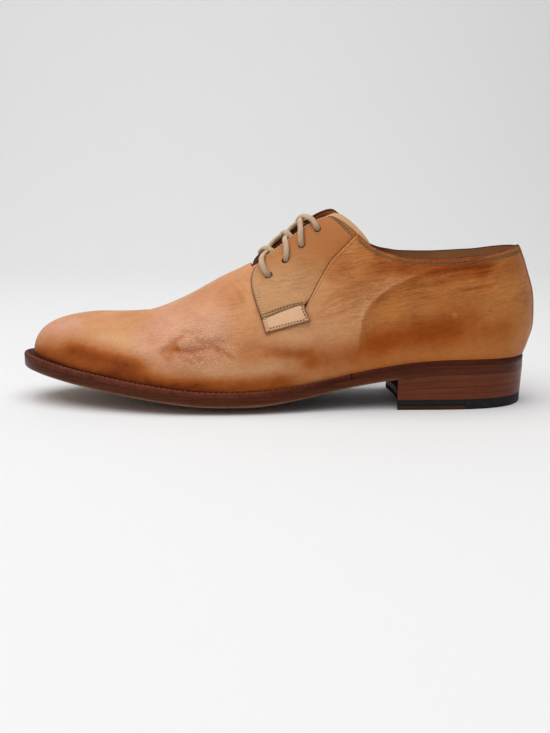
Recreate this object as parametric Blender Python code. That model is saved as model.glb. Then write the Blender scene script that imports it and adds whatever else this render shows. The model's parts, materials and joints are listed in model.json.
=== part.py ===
"""Plain toe derby, left shoe, in tan leather on a welted leather sole with a stacked heel.

Frame: +X to the toe, +Y to the outer (lateral) side, +Z up, floor at z = 0.
Stations run along the last from the heel point to the toe. Every piece of the upper is a
stretch of one form, the last, and every piece of the bottom follows the last's feather edge.
"""

import math

import bmesh
import bpy
import numpy as np

MM = 0.001

# Driving sizes of the last
LAST_LENGTH = 305 * MM  # heel point to the toe tip of the upper
BALL_WIDTH = 93 * MM  # feather edge to feather edge at the ball
INSTEP_HEIGHT = 119 * MM  # floor to the ridge of the instep
SEAT_HEIGHT = 30 * MM  # floor to the feather edge at the heel

# Middle of the whole shoe, measured on the last, which becomes the origin
MIDDLE = np.array([157.12 * MM, -3.15 * MM, 0.0])

# Thicknesses and the gaps between pieces
GAP = 0.3 * MM
LAP_GAP = 0.45 * MM  # under the facing, over the vamp
UPPER_WALL = 1.8 * MM
FACING_WALL = 1.6 * MM
TONGUE_WALL = 1.8 * MM
TONGUE_DEPTH = 2.7 * MM  # tongue's outer face below the last
WELT_THICK = 3.0 * MM
WELT_REACH = 2.0 * MM  # welt and rand inside the feather edge
INSOLE_INSET = 2.4 * MM
INSOLE_RISE = 0.5 * MM  # insole's top above the feather edge
EDGE_BEVEL = 0.7 * MM

# Bottom: share of the half width over which the top face stays level at the edge
LEVEL_FROM = 0.85
SAG_POWER = 2.5
JOINT_ROW = 7.85  # section at which welt and rand meet

# Heel
BREAST_ROW = 6.1  # section at which the heel ends in front
BREAST_HOLLOW = 3 * MM
HEEL_TAPER = 1.2 * MM
RUBBER_THICK = 6.2 * MM
INSERT_THICK = 2.6 * MM
INSERT_ROW = 3.8  # section at which the leather insert meets the rubber

# Heel seam, a closed seam that stands proud down the back
SEAM_RISE = 0.8 * MM
SEAM_ROW = 0.05  # half width of its top, in sections
SEAM_FOOT_ROW = 0.11  # half width of its foot

# Lacing
EYELET_RADIUS = 2.1 * MM
LACE_RADIUS = 1.7 * MM
LACE_DIP = 2.0 * MM  # how far a strand sinks before it goes under the far facing

# Sections of the last, from the heel's back to the toe tip. Columns:
# foot, spine: stations of the feather edge and of the ridge, % of LAST_LENGTH
# outer, inner: lateral and medial half widths at the feather edge, % of BALL_WIDTH
# feather: height of the feather edge, % of SEAT_HEIGHT
# ridge: sideways place of the ridge, % of BALL_WIDTH; top: its height, % of INSTEP_HEIGHT
# cone: half width of the last's top, % of BALL_WIDTH, none where the ridge is closed
# lean_out, lean_in: outward lean of the wall at the feather edge, degrees, on each side
# lean_top: inward lean at the top, degrees
# wall, crest: roundness of the section at the feather edge and at the top
# margin: sole beyond the feather edge; sole: outsole's thickness; belly: its sag, all in mm
LAST_COLUMNS = ("foot", "outer", "inner", "feather", "spine", "ridge", "top", "cone",
                "lean_out", "lean_in", "lean_top", "wall", "crest", "margin", "sole", "belly")
LAST_ROWS = (
    (1.6, 0.0, 0.0, 99.3, 13.1, 0.0, 84.9, 28.5, 24, 24, 24, 0.36, 0.36, 0.0, 5.2, 0.0),
    (2.8, 12.9, -12.9, 99.6, 13.8, 0.0, 84.9, 28.5, 22, 22, 22, 0.36, 0.36, 0.2, 5.2, 0.0),
    (5.6, 23.7, -23.7, 100.3, 15.1, 0.0, 84.9, 28.5, 17, 17, 18, 0.36, 0.36, 0.4, 5.2, 0.0),
    (10.2, 30.8, -30.8, 101.0, 17.1, 0.0, 84.0, 28.5, 12, 12, 15, 0.36, 0.36, 0.6, 5.2, 0.0),
    (15.7, 33.7, -33.4, 101.0, 19.7, 0.0, 84.0, 28.5, 9, 10, 13, 0.36, 0.36, 0.8, 5.2, 0.0),
    (21.6, 34.4, -33.4, 98.7, 23.3, 0.0, 84.9, 27.4, 8, 10, 14, 0.36, 0.36, 1.0, 5.2, 0.0),
    (27.5, 34.6, -32.3, 92.0, 27.9, 0.0, 90.0, 20.5, 8, 12, 32, 0.37, 0.33, 1.2, 5.2, 0.0),
    (32.8, 34.9, -31.0, 82.7, 32.3, 0.0, 97.5, 3.0, 8, 15, 80, 0.38, 0.27, 1.6, 4.8, 0.4),
    (38.0, 35.8, -30.6, 72.0, 36.7, -0.5, 100.0, 0.0, 8, 16, 90, 0.40, 0.22, 2.0, 4.4, 1.2),
    (43.3, 38.2, -32.3, 61.0, 41.6, -1.1, 97.5, 0.0, 8, 14, 90, 0.41, 0.19, 2.5, 4.4, 2.4),
    (49.2, 41.9, -37.1, 51.3, 47.2, -1.6, 88.7, 0.0, 7, 10, 90, 0.41, 0.19, 3.0, 4.8, 4.2),
    (55.1, 45.2, -44.1, 46.0, 52.8, -2.2, 77.6, 0.0, 6, 7, 90, 0.41, 0.21, 3.2, 5.2, 5.8),
    (61.0, 46.8, -50.0, 44.7, 58.4, -3.2, 69.0, 0.0, 5, 5, 90, 0.40, 0.25, 3.3, 5.2, 5.8),
    (66.9, 46.8, -53.2, 46.3, 63.6, -4.3, 62.6, 0.0, 4, 4, 90, 0.39, 0.31, 3.4, 5.2, 5.8),
    (72.8, 45.2, -53.2, 52.7, 68.5, -5.4, 55.4, 0.0, 3, 3, 90, 0.39, 0.36, 3.6, 5.2, 5.0),
    (78.7, 41.4, -50.0, 60.7, 73.1, -5.4, 49.9, 0.0, 2, 2, 90, 0.39, 0.39, 4.0, 5.2, 4.0),
    (84.5, 35.6, -44.8, 69.7, 77.0, -5.4, 46.9, 0.0, 2, 2, 90, 0.39, 0.39, 4.4, 5.2, 3.4),
    (89.8, 28.9, -38.2, 78.0, 80.3, -5.4, 45.8, 0.0, 1, 1, 90, 0.39, 0.39, 4.8, 5.2, 2.8),
    (94.3, 21.2, -31.0, 85.7, 82.8, -5.4, 45.7, 0.0, 0, 0, 90, 0.39, 0.39, 5.2, 5.2, 2.0),
    (97.8, 12.8, -23.0, 92.0, 84.4, -5.4, 45.7, 0.0, 0, 0, 90, 0.39, 0.39, 5.6, 5.2, 1.2),
    (100.2, 4.2, -14.8, 96.7, 85.4, -5.4, 45.7, 0.0, 0, 0, 90, 0.39, 0.39, 6.0, 5.2, 0.5),
    (101.2, -5.4, -5.4, 98.7, 85.9, -5.4, 45.7, 0.0, 0, 0, 90, 0.39, 0.39, 6.2, 5.2, 0.0),
)
TOE_ROW = len(LAST_ROWS) - 1
LOOP = 2 * TOE_ROW  # sections once round, out along the outer side and back along the inner
CONE_ROW = 7.0  # section at which the last's top has closed to a ridge
PEAK_ROWS = (7.4, 7.69, 8.1, 8.55)  # sections of the upper about the peak where collar and seam meet

# Top edge of the upper from the side: station % of LAST_LENGTH, height % of INSTEP_HEIGHT
COLLAR_LINE = ((0.0, 80.6), (3.6, 80.2), (7.0, 78.8), (10.5, 77.2), (13.8, 76.4), (19.5, 75.5),
               (25.2, 75.7), (28.0, 76.5), (31.0, 78.5), (33.2, 81.2), (35.0, 84.8), (36.0, 87.2))
SEAM_LINE = ((36.0, 87.2), (39.1, 79.5), (40.5, 76.0), (41.7, 72.1), (43.7, 63.3), (45.3, 55.5),
             (46.0, 52.3))
UNDERLAP_LINE = ((46.0, 52.3), (47.2, 50.6), (49.2, 51.6), (51.5, 55.7), (53.4, 60.5), (55.4, 66.4),
                 (56.9, 71.1))

# Facing's front and eyelet edge: station % of LAST_LENGTH, girth down the section from the ridge in mm
FACING_FRONT = ((53.7, 65.0), (54.6, 54.0), (55.6, 42.3), (56.3, 31.8), (56.4, 23.0), (55.8, 16.0),
                (54.7, 11.0), (53.0, 9.0), (50.3, 8.0), (47.1, 7.5), (44.2, 7.5), (42.6, 8.5), (41.3, 10.0),
                (40.2, 12.5))
# Facing's tab and rear seam, and its eyelets: station % of LAST_LENGTH, height % of INSTEP_HEIGHT
FACING_REAR = ((45.1, 45.4), (46.2, 52.8), (46.0, 54.5), (45.3, 57.0), (43.8, 63.7), (41.8, 72.4),
               (40.6, 76.3), (39.2, 79.8), (36.1, 87.4))
FACING_GAP = 0.35 * MM  # facing's rear edge in front of the upper's
EYELET_LINE = ((52.9, 65.8), (43.5, 88.5))
EYELETS = 4
EYELET_UP = (0.55, 0.64, 0.73, 0.81)  # place of each eyelet up the facing

# Facing's lap over the vamp: place up the facing, share of its width lapped, share of the full lift
LAP_COLUMNS = ("place", "lapped", "lift")
LAP_ROWS = ((0.0, 1.0, 1.0), (0.2, 1.0, 1.0), (0.27, 0.6, 1.0), (0.35, 0.4, 1.0), (0.45, 0.12, 1.0),
            (0.65, 0.05, 0.6), (1.0, 0.0, 0.3))

# Tongue: place up the tongue, station of its middle % of LAST_LENGTH, half girth in mm
TONGUE_COLUMNS = ("place", "station", "half")
TONGUE_ROWS = ((0.0, 60.5, 17.0), (0.15, 57.0, 20.0), (0.5, 48.5, 23.0), (0.85, 41.5, 26.0),
               (1.0, 39.2, 27.0))
TONGUE_DROP = 8.0  # how far the top corners lie behind the middle, % of LAST_LENGTH

COLOURS = {
    "tan_calf": ((0.42, 0.235, 0.125), 0.42),
    "facing_calf": ((0.47, 0.275, 0.15), 0.45),
    "tongue_calf": ((0.50, 0.31, 0.18), 0.5),
    "brown_sole_leather": ((0.075, 0.028, 0.014), 0.4),
    "brown_welt_leather": ((0.16, 0.068, 0.038), 0.42),
    "stacked_heel_leather": ((0.13, 0.048, 0.024), 0.38),
    "black_heel_rubber": ((0.012, 0.012, 0.012), 0.6),
    "insole_leather": ((0.48, 0.31, 0.18), 0.6),
    "beige_lace_cotton": ((0.60, 0.44, 0.29), 0.75),
}


def spline_weights(values):
    """Control values of the periodic cubic B-spline that passes through the given values."""
    ones = np.eye(len(values))
    matrix = (4 * ones + np.roll(ones, 1, axis=1) + np.roll(ones, -1, axis=1)) / 6
    return np.linalg.solve(matrix, np.asarray(values, float))


def once_round(outer, inner):
    """A column's values in order once round the shoe, lateral out and medial back."""
    return spline_weights([*outer, *inner[-2:0:-1]])


def last_columns():
    length, width, degree = LAST_LENGTH / 100, BALL_WIDTH / 100, math.pi / 180
    scale = {"foot": length, "spine": length, "outer": width, "inner": width, "ridge": width, "cone": width,
             "feather": SEAT_HEIGHT / 100, "top": INSTEP_HEIGHT / 100, "lean_out": degree, "lean_in": degree,
             "lean_top": degree, "wall": 1.0, "crest": 1.0, "margin": MM, "sole": MM, "belly": MM}
    rows = np.array(LAST_ROWS, float)
    column = {name: rows[:, i] * scale[name] for i, name in enumerate(LAST_COLUMNS)}
    loops = {name: once_round(column[name], column[name]) for name in LAST_COLUMNS}
    loops["side"] = once_round(column["outer"], column["inner"])
    loops["lean"] = once_round(column["lean_out"], column["lean_in"])
    return loops


LAST = last_columns()


def column_at(name, turn):
    """A column's value at a place round the shoe, counted in sections from the heel's back."""
    turn = np.asarray(turn, float)
    whole = np.floor(turn).astype(int)
    part = turn - whole
    weights = ((1 - part) ** 3, 3 * part ** 3 - 6 * part ** 2 + 4,
               -3 * part ** 3 + 3 * part ** 2 + 3 * part + 1, part ** 3)
    values = LAST[name]
    return sum(w * values[(whole + k - 1) % LOOP] for k, w in enumerate(weights)) / 6


def ridge_slope(turn):
    """Rise of the ridge for a step along it, so that both sides meet it without a crease."""
    step = 0.05
    run = column_at("spine", turn + step) - column_at("spine", turn - step)
    climb = column_at("top", turn + step) - column_at("top", turn - step)
    return climb * run / (run ** 2 + (0.02 * MM) ** 2)


def last_point(turn, rise):
    """Point of the last's surface. turn goes round the shoe, rise from the feather edge (0) to the top (1).

    Each section is a cubic arc: it leaves the feather edge with the wall's lean and arrives at
    the ridge, or at the top of the cone, with the lean of the top, level with the ridge's run.
    """
    turn, rise = np.broadcast_arrays(np.asarray(turn, float), np.asarray(rise, float))
    foot = np.stack([column_at("foot", turn), column_at("side", turn), column_at("feather", turn)], -1)
    spine = np.stack([column_at("spine", turn), column_at("ridge", turn), column_at("top", turn)], -1)
    inward = (spine - foot) * np.array([1.0, 1.0, 0.0])
    inward /= np.linalg.norm(inward, axis=-1, keepdims=True)
    row = np.minimum(turn % LOOP, LOOP - turn % LOOP)
    crown = spine - inward * (column_at("cone", turn) * soft_step(CONE_ROW - row))[..., None]
    chord = np.linalg.norm(crown - foot, axis=-1, keepdims=True)
    up = np.array([0.0, 0.0, 1.0])
    lean = column_at("lean", turn)[..., None]
    lean_top = np.minimum(column_at("lean_top", turn), math.pi / 2)[..., None]
    start = np.cos(lean) * up - np.sin(lean) * inward
    slope = (ridge_slope(turn) * inward[..., 0])[..., None]
    end = np.cos(lean_top) * up + np.sin(lean_top) * (inward + slope * up)
    after_foot = foot + chord * column_at("wall", turn)[..., None] * start
    before_crown = crown - chord * column_at("crest", turn)[..., None] * end
    t = rise[..., None]
    return ((1 - t) ** 3 * foot + 3 * t * (1 - t) ** 2 * after_foot
            + 3 * t ** 2 * (1 - t) * before_crown + t ** 3 * crown)


def last_normal(turn, rise):
    """Outward unit normal of the last, from small steps along the surface."""
    step = 0.004
    turn, rise = np.broadcast_arrays(np.asarray(turn, float), np.asarray(rise, float))
    along = last_point(turn + step, rise) - last_point(turn - step, rise)
    over = last_point(turn, np.minimum(rise + step, 1)) - last_point(turn, np.maximum(rise - step, 0))
    normal = np.cross(over, along)
    return normal / np.linalg.norm(normal, axis=-1, keepdims=True)


def last_offset(turn, rise, lift):
    """Point that lies lift outside the last."""
    return last_point(turn, rise) + np.asarray(lift, float)[..., None] * last_normal(turn, rise)


def section_place(station, value, side, measure):
    """(turn, rise) of a point at that station on one side of the ridge.

    measure says how far down the section it lies: by its height, by its girth from the ridge or by
    its breadth beside the ridge. The rise is read off the section, then the turn is bettered until
    the station agrees.
    """
    station, value, side = np.broadcast_arrays(np.asarray(station, float), np.asarray(value, float), side)
    rises = np.linspace(1, 0, 81)
    rows = np.linspace(0, TOE_ROW, 421)
    turn = np.interp(station, column_at("foot", rows), rows)
    for _ in range(14):
        place = np.where(side > 0, turn, LOOP - turn)
        line = last_point(place[..., None], rises)
        steps = np.linalg.norm(np.diff(line, axis=-2, prepend=line[..., :1, :]), axis=-1)
        run = {"girth": np.cumsum(steps, axis=-1),
               "height": line[..., :1, 2] - line[..., 2],
               "breadth": np.maximum.accumulate(np.abs(line[..., 1] - line[..., :1, 1]), axis=-1)}[measure]
        wanted = line[..., 0, 2] - value if measure == "height" else value
        pairs = zip(wanted.reshape(-1), run.reshape(-1, len(rises)))
        rise = np.array([np.interp(v, r, rises) for v, r in pairs]).reshape(turn.shape)
        here = last_point(place, rise)[..., 0]
        slope = (last_point(place + 0.05 * side, rise)[..., 0] - here) / 0.05
        turn = np.clip(turn + np.clip((station - here) / np.maximum(slope, 4 * MM), -1, 1), 0, TOE_ROW)
    return np.where(side > 0, turn, LOOP - turn), rise


def side_of(value):
    """1 on the lateral side, -1 on the medial side."""
    return np.where(np.asarray(value) >= 0, 1, -1)


def smooth_line(points, places):
    """Points of a smooth open curve through the given ones, at places from 0 to 1 along its length."""
    points = np.asarray(points, float)
    ends = np.vstack([2 * points[0] - points[1], points, 2 * points[-1] - points[-2]])
    t = np.linspace(0, 1, 25)[:, None]
    fine = [points[:1]]
    for a, b, c, d in zip(ends[:-3], ends[1:-2], ends[2:-1], ends[3:]):
        curve = (2 * a - 5 * b + 4 * c - d) * t ** 2 + (3 * b - a - 3 * c + d) * t ** 3
        fine.append((b + 0.5 * ((c - a) * t + curve))[1:])
    fine = np.vstack(fine)
    run = np.concatenate([[0], np.cumsum(np.linalg.norm(np.diff(fine, axis=0), axis=1))])
    return np.stack([np.interp(np.asarray(places) * run[-1], run, column) for column in fine.T], 1)


def table_at(rows, columns, name, places):
    """A short table's column, straight between its rows."""
    table = np.array(rows)
    return np.interp(places, table[:, 0], table[:, columns.index(name)])


def soft_step(value):
    value = np.clip(value, 0, 1)
    return value * value * (3 - 2 * value)


def make_piece(name, bm, colour):
    """Close the mesh's coincident points, turn its faces outward and give it its material."""
    bmesh.ops.remove_doubles(bm, verts=bm.verts[:], dist=1e-6)
    bmesh.ops.dissolve_degenerate(bm, edges=bm.edges[:], dist=1e-6)
    bmesh.ops.triangulate(bm, faces=bm.faces[:])
    bmesh.ops.recalc_face_normals(bm, faces=bm.faces[:])
    mesh = bpy.data.meshes.new(name)
    bm.to_mesh(mesh)
    bm.free()
    mesh.shade_smooth()
    mesh.set_sharp_from_angle(angle=math.radians(38))
    piece = bpy.data.objects.new(name, mesh)
    bpy.context.scene.collection.objects.link(piece)
    mesh.materials.append(material(colour))
    return piece


def material(name):
    found = bpy.data.materials.get(name)
    if found:
        return found
    colour, rough = COLOURS[name]
    made = bpy.data.materials.new(name)
    made.use_nodes = True
    made.diffuse_color = (*colour, 1)
    shader = made.node_tree.nodes["Principled BSDF"]
    shader.inputs["Base Color"].default_value = (*colour, 1)
    shader.inputs["Roughness"].default_value = rough
    shader.inputs["Metallic"].default_value = 0.0
    return made


def add_grid(bm, points):
    """Points of a grid as vertices, moved from the last's frame to the shoe's."""
    return [[bm.verts.new(p) for p in row] for row in points - MIDDLE]


def add_quads(bm, rows, closed=False):
    """Faces between neighbouring rows; closed joins each row's end to its start."""
    for a, b in zip(rows[:-1], rows[1:]):
        count = len(a)
        for k in range(count if closed else count - 1):
            n = (k + 1) % count
            bm.faces.new((a[k], a[n], b[n], b[k]))


def rim_of(grid):
    """The grid's outer vertices in order once round."""
    return (grid[0][:-1] + [row[-1] for row in grid[:-1]] + grid[-1][:0:-1] + [row[0] for row in grid[:0:-1]])


def stacked_piece(name, levels, colour):
    """Solid between the first and the last of some like grids, its side passing through each one's rim."""
    bm = bmesh.new()
    grids = [add_grid(bm, level) for level in levels]
    add_quads(bm, grids[0])
    add_quads(bm, grids[-1])
    add_quads(bm, [rim_of(grid) for grid in grids], closed=True)
    inner = [v for grid in grids[1:-1] for row in grid[1:-1] for v in row[1:-1]]
    bmesh.ops.delete(bm, geom=inner, context="VERTS")
    return make_piece(name, bm, colour)


def strip_piece(name, sections, colour):
    """Solid that carries a closed section along a path, with a flat face at each end."""
    bm = bmesh.new()
    rows = add_grid(bm, sections)
    add_quads(bm, rows, closed=True)
    bm.faces.new(rows[0])
    bm.faces.new(rows[-1])
    return make_piece(name, bm, colour)


def plan_point(turn, margin):
    """Plan of the feather edge moved outward by the margin, square to the edge."""
    turn = np.asarray(turn, float)
    here = np.stack([column_at("foot", turn), column_at("side", turn)], -1)
    step = 0.02
    ahead = np.stack([column_at("foot", turn + step), column_at("side", turn + step)], -1)
    behind = np.stack([column_at("foot", turn - step), column_at("side", turn - step)], -1)
    along = ahead - behind
    outward = np.stack([-along[..., 1], along[..., 0]], -1)
    outward /= np.linalg.norm(outward, axis=-1, keepdims=True)
    return here + np.asarray(margin, float)[..., None] * outward


def rungs(rows, margin, across):
    """Plan grid of cross lines from the medial edge (-1) to the lateral edge (1), one a section."""
    rows = np.asarray(rows, float)
    outer = plan_point(rows, margin)
    inner = plan_point(LOOP - rows, margin)
    share = (np.asarray(across) + 1)[None, :, None] / 2
    return inner[:, None, :] * (1 - share) + outer[:, None, :] * share


def with_height(plan, height):
    return np.concatenate([plan, np.broadcast_to(height, plan.shape[:-1])[..., None]], -1)


def level_sag(rows, across):
    """Sag of the sole's layers across the foot, none in the level band at the edge."""
    share = np.minimum(np.abs(across)[None, :] / LEVEL_FROM, 1)
    return column_at("belly", rows)[:, None] * (1 - share ** SAG_POWER)


def tread_sag(rows, across):
    """Sag of the tread, round from edge to edge."""
    return column_at("belly", rows)[:, None] * (1 - np.abs(across)[None, :] ** SAG_POWER)


def outsole_top(rows):
    return column_at("feather", rows) - WELT_THICK - 2 * GAP


def outsole_foot(rows):
    return outsole_top(rows) - column_at("sole", rows)


ACROSS = np.array([-1.0, -0.85, -0.65, -0.42, 0.0, 0.42, 0.65, 0.85, 1.0])
SOLE_ROWS = np.concatenate([np.arange(0, 3, 0.5), np.arange(3, 10, 1.0), np.arange(10, 14, 0.5),
                            np.arange(14, 17, 1.0), np.arange(17, TOE_ROW + 0.1, 0.5)])


def build_outsole():
    rows = SOLE_ROWS
    margin = column_at("margin", rows) - 0.2 * MM
    foot = np.maximum(outsole_foot(rows)[:, None] - tread_sag(rows, ACROSS), 0)
    top = outsole_top(rows)[:, None] - level_sag(rows, ACROSS)
    edge_foot = foot + EDGE_BEVEL
    edge_top = top - EDGE_BEVEL / 2
    inset = rungs(rows, margin - EDGE_BEVEL, ACROSS)
    full = rungs(rows, margin, ACROSS)
    levels = [with_height(inset, foot), with_height(full, edge_foot), with_height(full, edge_top),
              with_height(inset, top)]
    stacked_piece("outsole", levels, "brown_sole_leather")


def build_insole():
    rows = SOLE_ROWS
    plan = rungs(rows, np.full(rows.shape, -INSOLE_INSET), ACROSS)
    sag = level_sag(rows, ACROSS)
    low = outsole_top(rows)[:, None] + GAP - sag
    high = column_at("feather", rows)[:, None] + INSOLE_RISE - 0.85 * sag
    stacked_piece("insole", [with_height(plan, low), with_height(plan, high)], "insole_leather")


def edge_strip(name, turns, colour):
    """Strip under the upper's edge: level top, rounded outer edge, level foot."""
    margin = column_at("margin", turns)
    top = column_at("feather", turns) - GAP
    foot = top - WELT_THICK
    inside = np.full(turns.shape, -WELT_REACH)
    corners = ((inside, foot), (margin - 0.1 * MM, foot), (margin, foot + 0.4 * MM), (margin, top - 0.9 * MM),
               (margin - 0.35 * MM, top - 0.25 * MM), (margin - 1.0 * MM, top), (inside, top))
    sections = np.stack([with_height(plan_point(turns, out), z) for out, z in corners], 1)
    strip_piece(name, sections, colour)


def build_welt():
    edge_strip("welt", np.linspace(JOINT_ROW, LOOP - JOINT_ROW, 57), "brown_welt_leather")
    end = JOINT_ROW - 0.018
    edge_strip("heel_rand", np.linspace(-end, end, 35), "brown_sole_leather")


def heel_plan(rows, taper):
    """Heel's plan, drawn in by the taper, with a hollow breast."""
    plan = rungs(rows, column_at("margin", rows) - 0.2 * MM - taper, ACROSS)
    hollow = BREAST_HOLLOW * (rows / BREAST_ROW)[:, None] ** 8 * (1 - ACROSS[None, :] ** 2)
    plan[..., 0] -= hollow
    return plan


def build_heel():
    rows = np.concatenate([np.arange(0, 6, 0.5), [BREAST_ROW]])
    top = np.broadcast_to((outsole_foot(rows) - GAP)[:, None], (len(rows), len(ACROSS)))
    low = RUBBER_THICK + GAP
    share = HEEL_TAPER * 0.7
    stacked_piece("heel_stack", [with_height(heel_plan(rows, share), low),
                                 with_height(heel_plan(rows, 0.0), top)], "stacked_heel_leather")

    front = np.array([INSERT_ROW, 4.5, 5.25, BREAST_ROW])
    back = np.array([0, 0.5, 1, 1.5, 2, 2.5, 3, INSERT_ROW])
    rows = np.concatenate([back, front])
    step = np.concatenate([np.zeros(len(back)), np.full(len(front), INSERT_THICK + GAP)])
    stacked_piece("heel_rubber", [with_height(heel_plan(rows, HEEL_TAPER), step[:, None]),
                                  with_height(heel_plan(rows, share), RUBBER_THICK)], "black_heel_rubber")

    plan = heel_plan(np.concatenate([[INSERT_ROW + 0.018], front[1:]]), HEEL_TAPER)
    stacked_piece("heel_insert", [with_height(plan, 0.0), with_height(plan, INSERT_THICK)],
                  "stacked_heel_leather")


def top_edge_height(station):
    """Height of the upper's top edge at a station, without end where the vamp is closed."""
    places = np.linspace(0, 1, 60)
    line = np.vstack([smooth_line(part, places) for part in (COLLAR_LINE, SEAM_LINE, UNDERLAP_LINE)])
    stations, heights = line[:, 0] * LAST_LENGTH / 100, line[:, 1] * INSTEP_HEIGHT / 100
    return np.interp(station, stations, heights, right=1.0)


def top_rise(turns):
    """Rise at which each section meets the upper's top edge, 1 where the ridge is closed."""
    rises = np.linspace(0, 1, 801)
    line = last_point(turns[:, None], rises)
    under = line[..., 2] < top_edge_height(line[..., 0])
    cut = np.where(under.all(axis=1), len(rises) - 1, np.argmin(under, axis=1))
    found = rises[cut]
    return np.where(found > 0.985, 1.0, found)


def seam_lift(turns):
    away = np.minimum(turns, LOOP - turns)
    return SEAM_RISE * np.clip((SEAM_FOOT_ROW - away) / (SEAM_FOOT_ROW - SEAM_ROW), 0, 1)


def build_upper():
    """Hollow shell round the whole last, open at the collar, at the throat and underneath."""
    half = np.concatenate([[0, SEAM_ROW, SEAM_FOOT_ROW], np.arange(0.5, 7.5, 0.5), PEAK_ROWS,
                           np.arange(9, 12, 0.25), np.arange(12, TOE_ROW, 0.5)])
    turns = np.concatenate([half, [TOE_ROW], LOOP - half[:0:-1]])
    opposite = -np.arange(len(turns)) % len(turns)
    ends = top_rise(turns)
    ends = np.where(ends[opposite] == 1.0, 1.0, ends)
    rise = ends[:, None] * np.linspace(0, 1, 11)[None, :]
    place = np.broadcast_to(turns[:, None], rise.shape)
    normal = last_normal(place, rise)
    closed = ends == 1.0
    slope = ridge_slope(np.minimum(turns, LOOP - turns)[closed])
    ridge = np.stack([-slope, np.zeros(slope.shape), np.ones(slope.shape)], -1)
    normal[closed, -1] = ridge / np.linalg.norm(ridge, axis=1, keepdims=True)
    surface = last_point(place, rise)
    outer = surface + seam_lift(place)[..., None] * normal
    inner = surface - UPPER_WALL * normal
    bm = bmesh.new()
    outside, inside = add_grid(bm, outer), add_grid(bm, inner)
    count = len(turns)
    for i in range(count):
        n = (i + 1) % count
        add_quads(bm, [outside[i], outside[n]])
        add_quads(bm, [inside[i], inside[n]])
        bm.faces.new((outside[i][0], outside[n][0], inside[n][0], inside[i][0]))
        if ends[i] < 1.0 or ends[n] < 1.0:
            bm.faces.new((outside[i][-1], outside[n][-1], inside[n][-1], inside[i][-1]))
    make_piece("upper", bm, "tan_calf")


def facing_place(up, over, side):
    """(turn, rise) on a facing: up from tab to top, over from the front edge to the rear seam."""
    front = smooth_line(np.array(FACING_FRONT) * (LAST_LENGTH / 100, MM), up[:, 0])
    rear = smooth_line(np.array(FACING_REAR) * (LAST_LENGTH / 100, INSTEP_HEIGHT / 100), up[:, 0])
    front = np.stack(section_place(front[:, 0], front[:, 1], side, "girth"), -1)
    rear = np.stack(section_place(rear[:, 0] + FACING_GAP, rear[:, 1], side, "height"), -1)
    line = front[:, None, :] * (1 - over[..., None]) + rear[:, None, :] * over[..., None]
    return line[..., 0], line[..., 1]


def facing_lift(up, over):
    """Lift of the facing's outer face: full where it laps the vamp, none at the rear seam."""
    lapped = table_at(LAP_ROWS, LAP_COLUMNS, "lapped", up)
    share = table_at(LAP_ROWS, LAP_COLUMNS, "lift", up)
    fall = soft_step((over - lapped) / np.maximum(1 - lapped, 1e-6))
    return (FACING_WALL + LAP_GAP) * share * (1 - fall)


def eyelet_places(side):
    """(turn, rise) of each eyelet, from the lowest to the top one."""
    start, end = np.array(EYELET_LINE) * (LAST_LENGTH / 100, INSTEP_HEIGHT / 100)
    line = start + (end - start) * np.linspace(0, 1, EYELETS)[:, None]
    return section_place(line[:, 0], line[:, 1], side, "height")


def eyelet_cutter(name, side):
    """Round punches square to the last, one at each eyelet."""
    bm = bmesh.new()
    angle = np.linspace(0, 2 * math.pi, 10, endpoint=False)[:, None]
    for turn, rise in zip(*eyelet_places(side)):
        middle, axis = last_point(turn, rise), last_normal(turn, rise)
        across = np.cross(axis, (1.0, 0.0, 0.0))
        across /= np.linalg.norm(across)
        ring = EYELET_RADIUS * (np.cos(angle) * across + np.sin(angle) * np.cross(axis, across))
        rows = add_grid(bm, np.stack([middle + ring - 8 * MM * axis, middle + ring + 8 * MM * axis]))
        add_quads(bm, rows, closed=True)
        bm.faces.new(rows[0])
        bm.faces.new(rows[1])
    cutter = make_piece(name, bm, "facing_calf")
    cutter.hide_render = True
    cutter.display_type = "WIRE"
    return cutter


def cut_by(piece, cutter, operation):
    step = piece.modifiers.new(operation.lower(), "BOOLEAN")
    step.operation = operation
    step.solver = "EXACT"
    step.object = cutter


def build_facing(name, side):
    up, over = np.meshgrid(np.linspace(0, 1, 20), np.linspace(0, 1, 9), indexing="ij")
    turn, rise = facing_place(up, over, side)
    lift = facing_lift(up, over)
    levels = [last_offset(turn, rise, lift - FACING_WALL), last_offset(turn, rise, lift)]
    facing = stacked_piece(name, levels, "facing_calf")
    cut_by(facing, eyelet_cutter(name + "_punch", side), "DIFFERENCE")


def build_tongue():
    up, over = np.meshgrid(np.linspace(0, 1, 14), np.linspace(-1, 1, 11), indexing="ij")
    half = table_at(TONGUE_ROWS, TONGUE_COLUMNS, "half", up) * MM
    station = table_at(TONGUE_ROWS, TONGUE_COLUMNS, "station", up)
    station = (station - TONGUE_DROP * soft_step((up - 0.5) / 0.5) * np.abs(over) ** 1.3) * LAST_LENGTH / 100
    turn, rise = section_place(station, np.abs(over) * half, side_of(over), "girth")
    depth = np.full(up.shape, -TONGUE_DEPTH)
    levels = [last_offset(turn, rise, depth - TONGUE_WALL), last_offset(turn, rise, depth)]
    stacked_piece("tongue", levels, "tongue_calf")


def tube_piece(name, path, radius, colour):
    """Round cord along a path of points."""
    along = np.gradient(path, axis=0)
    along /= np.linalg.norm(along, axis=1, keepdims=True)
    across = np.cross(along, (0.0, 0.0, 1.0))
    across /= np.linalg.norm(across, axis=1, keepdims=True)
    other = np.cross(along, across)
    angle = np.linspace(0, 2 * math.pi, 8, endpoint=False)[None, :, None]
    ring = np.cos(angle) * across[:, None, :] + np.sin(angle) * other[:, None, :]
    return strip_piece(name, path[:, None, :] + radius * ring, colour)


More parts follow.
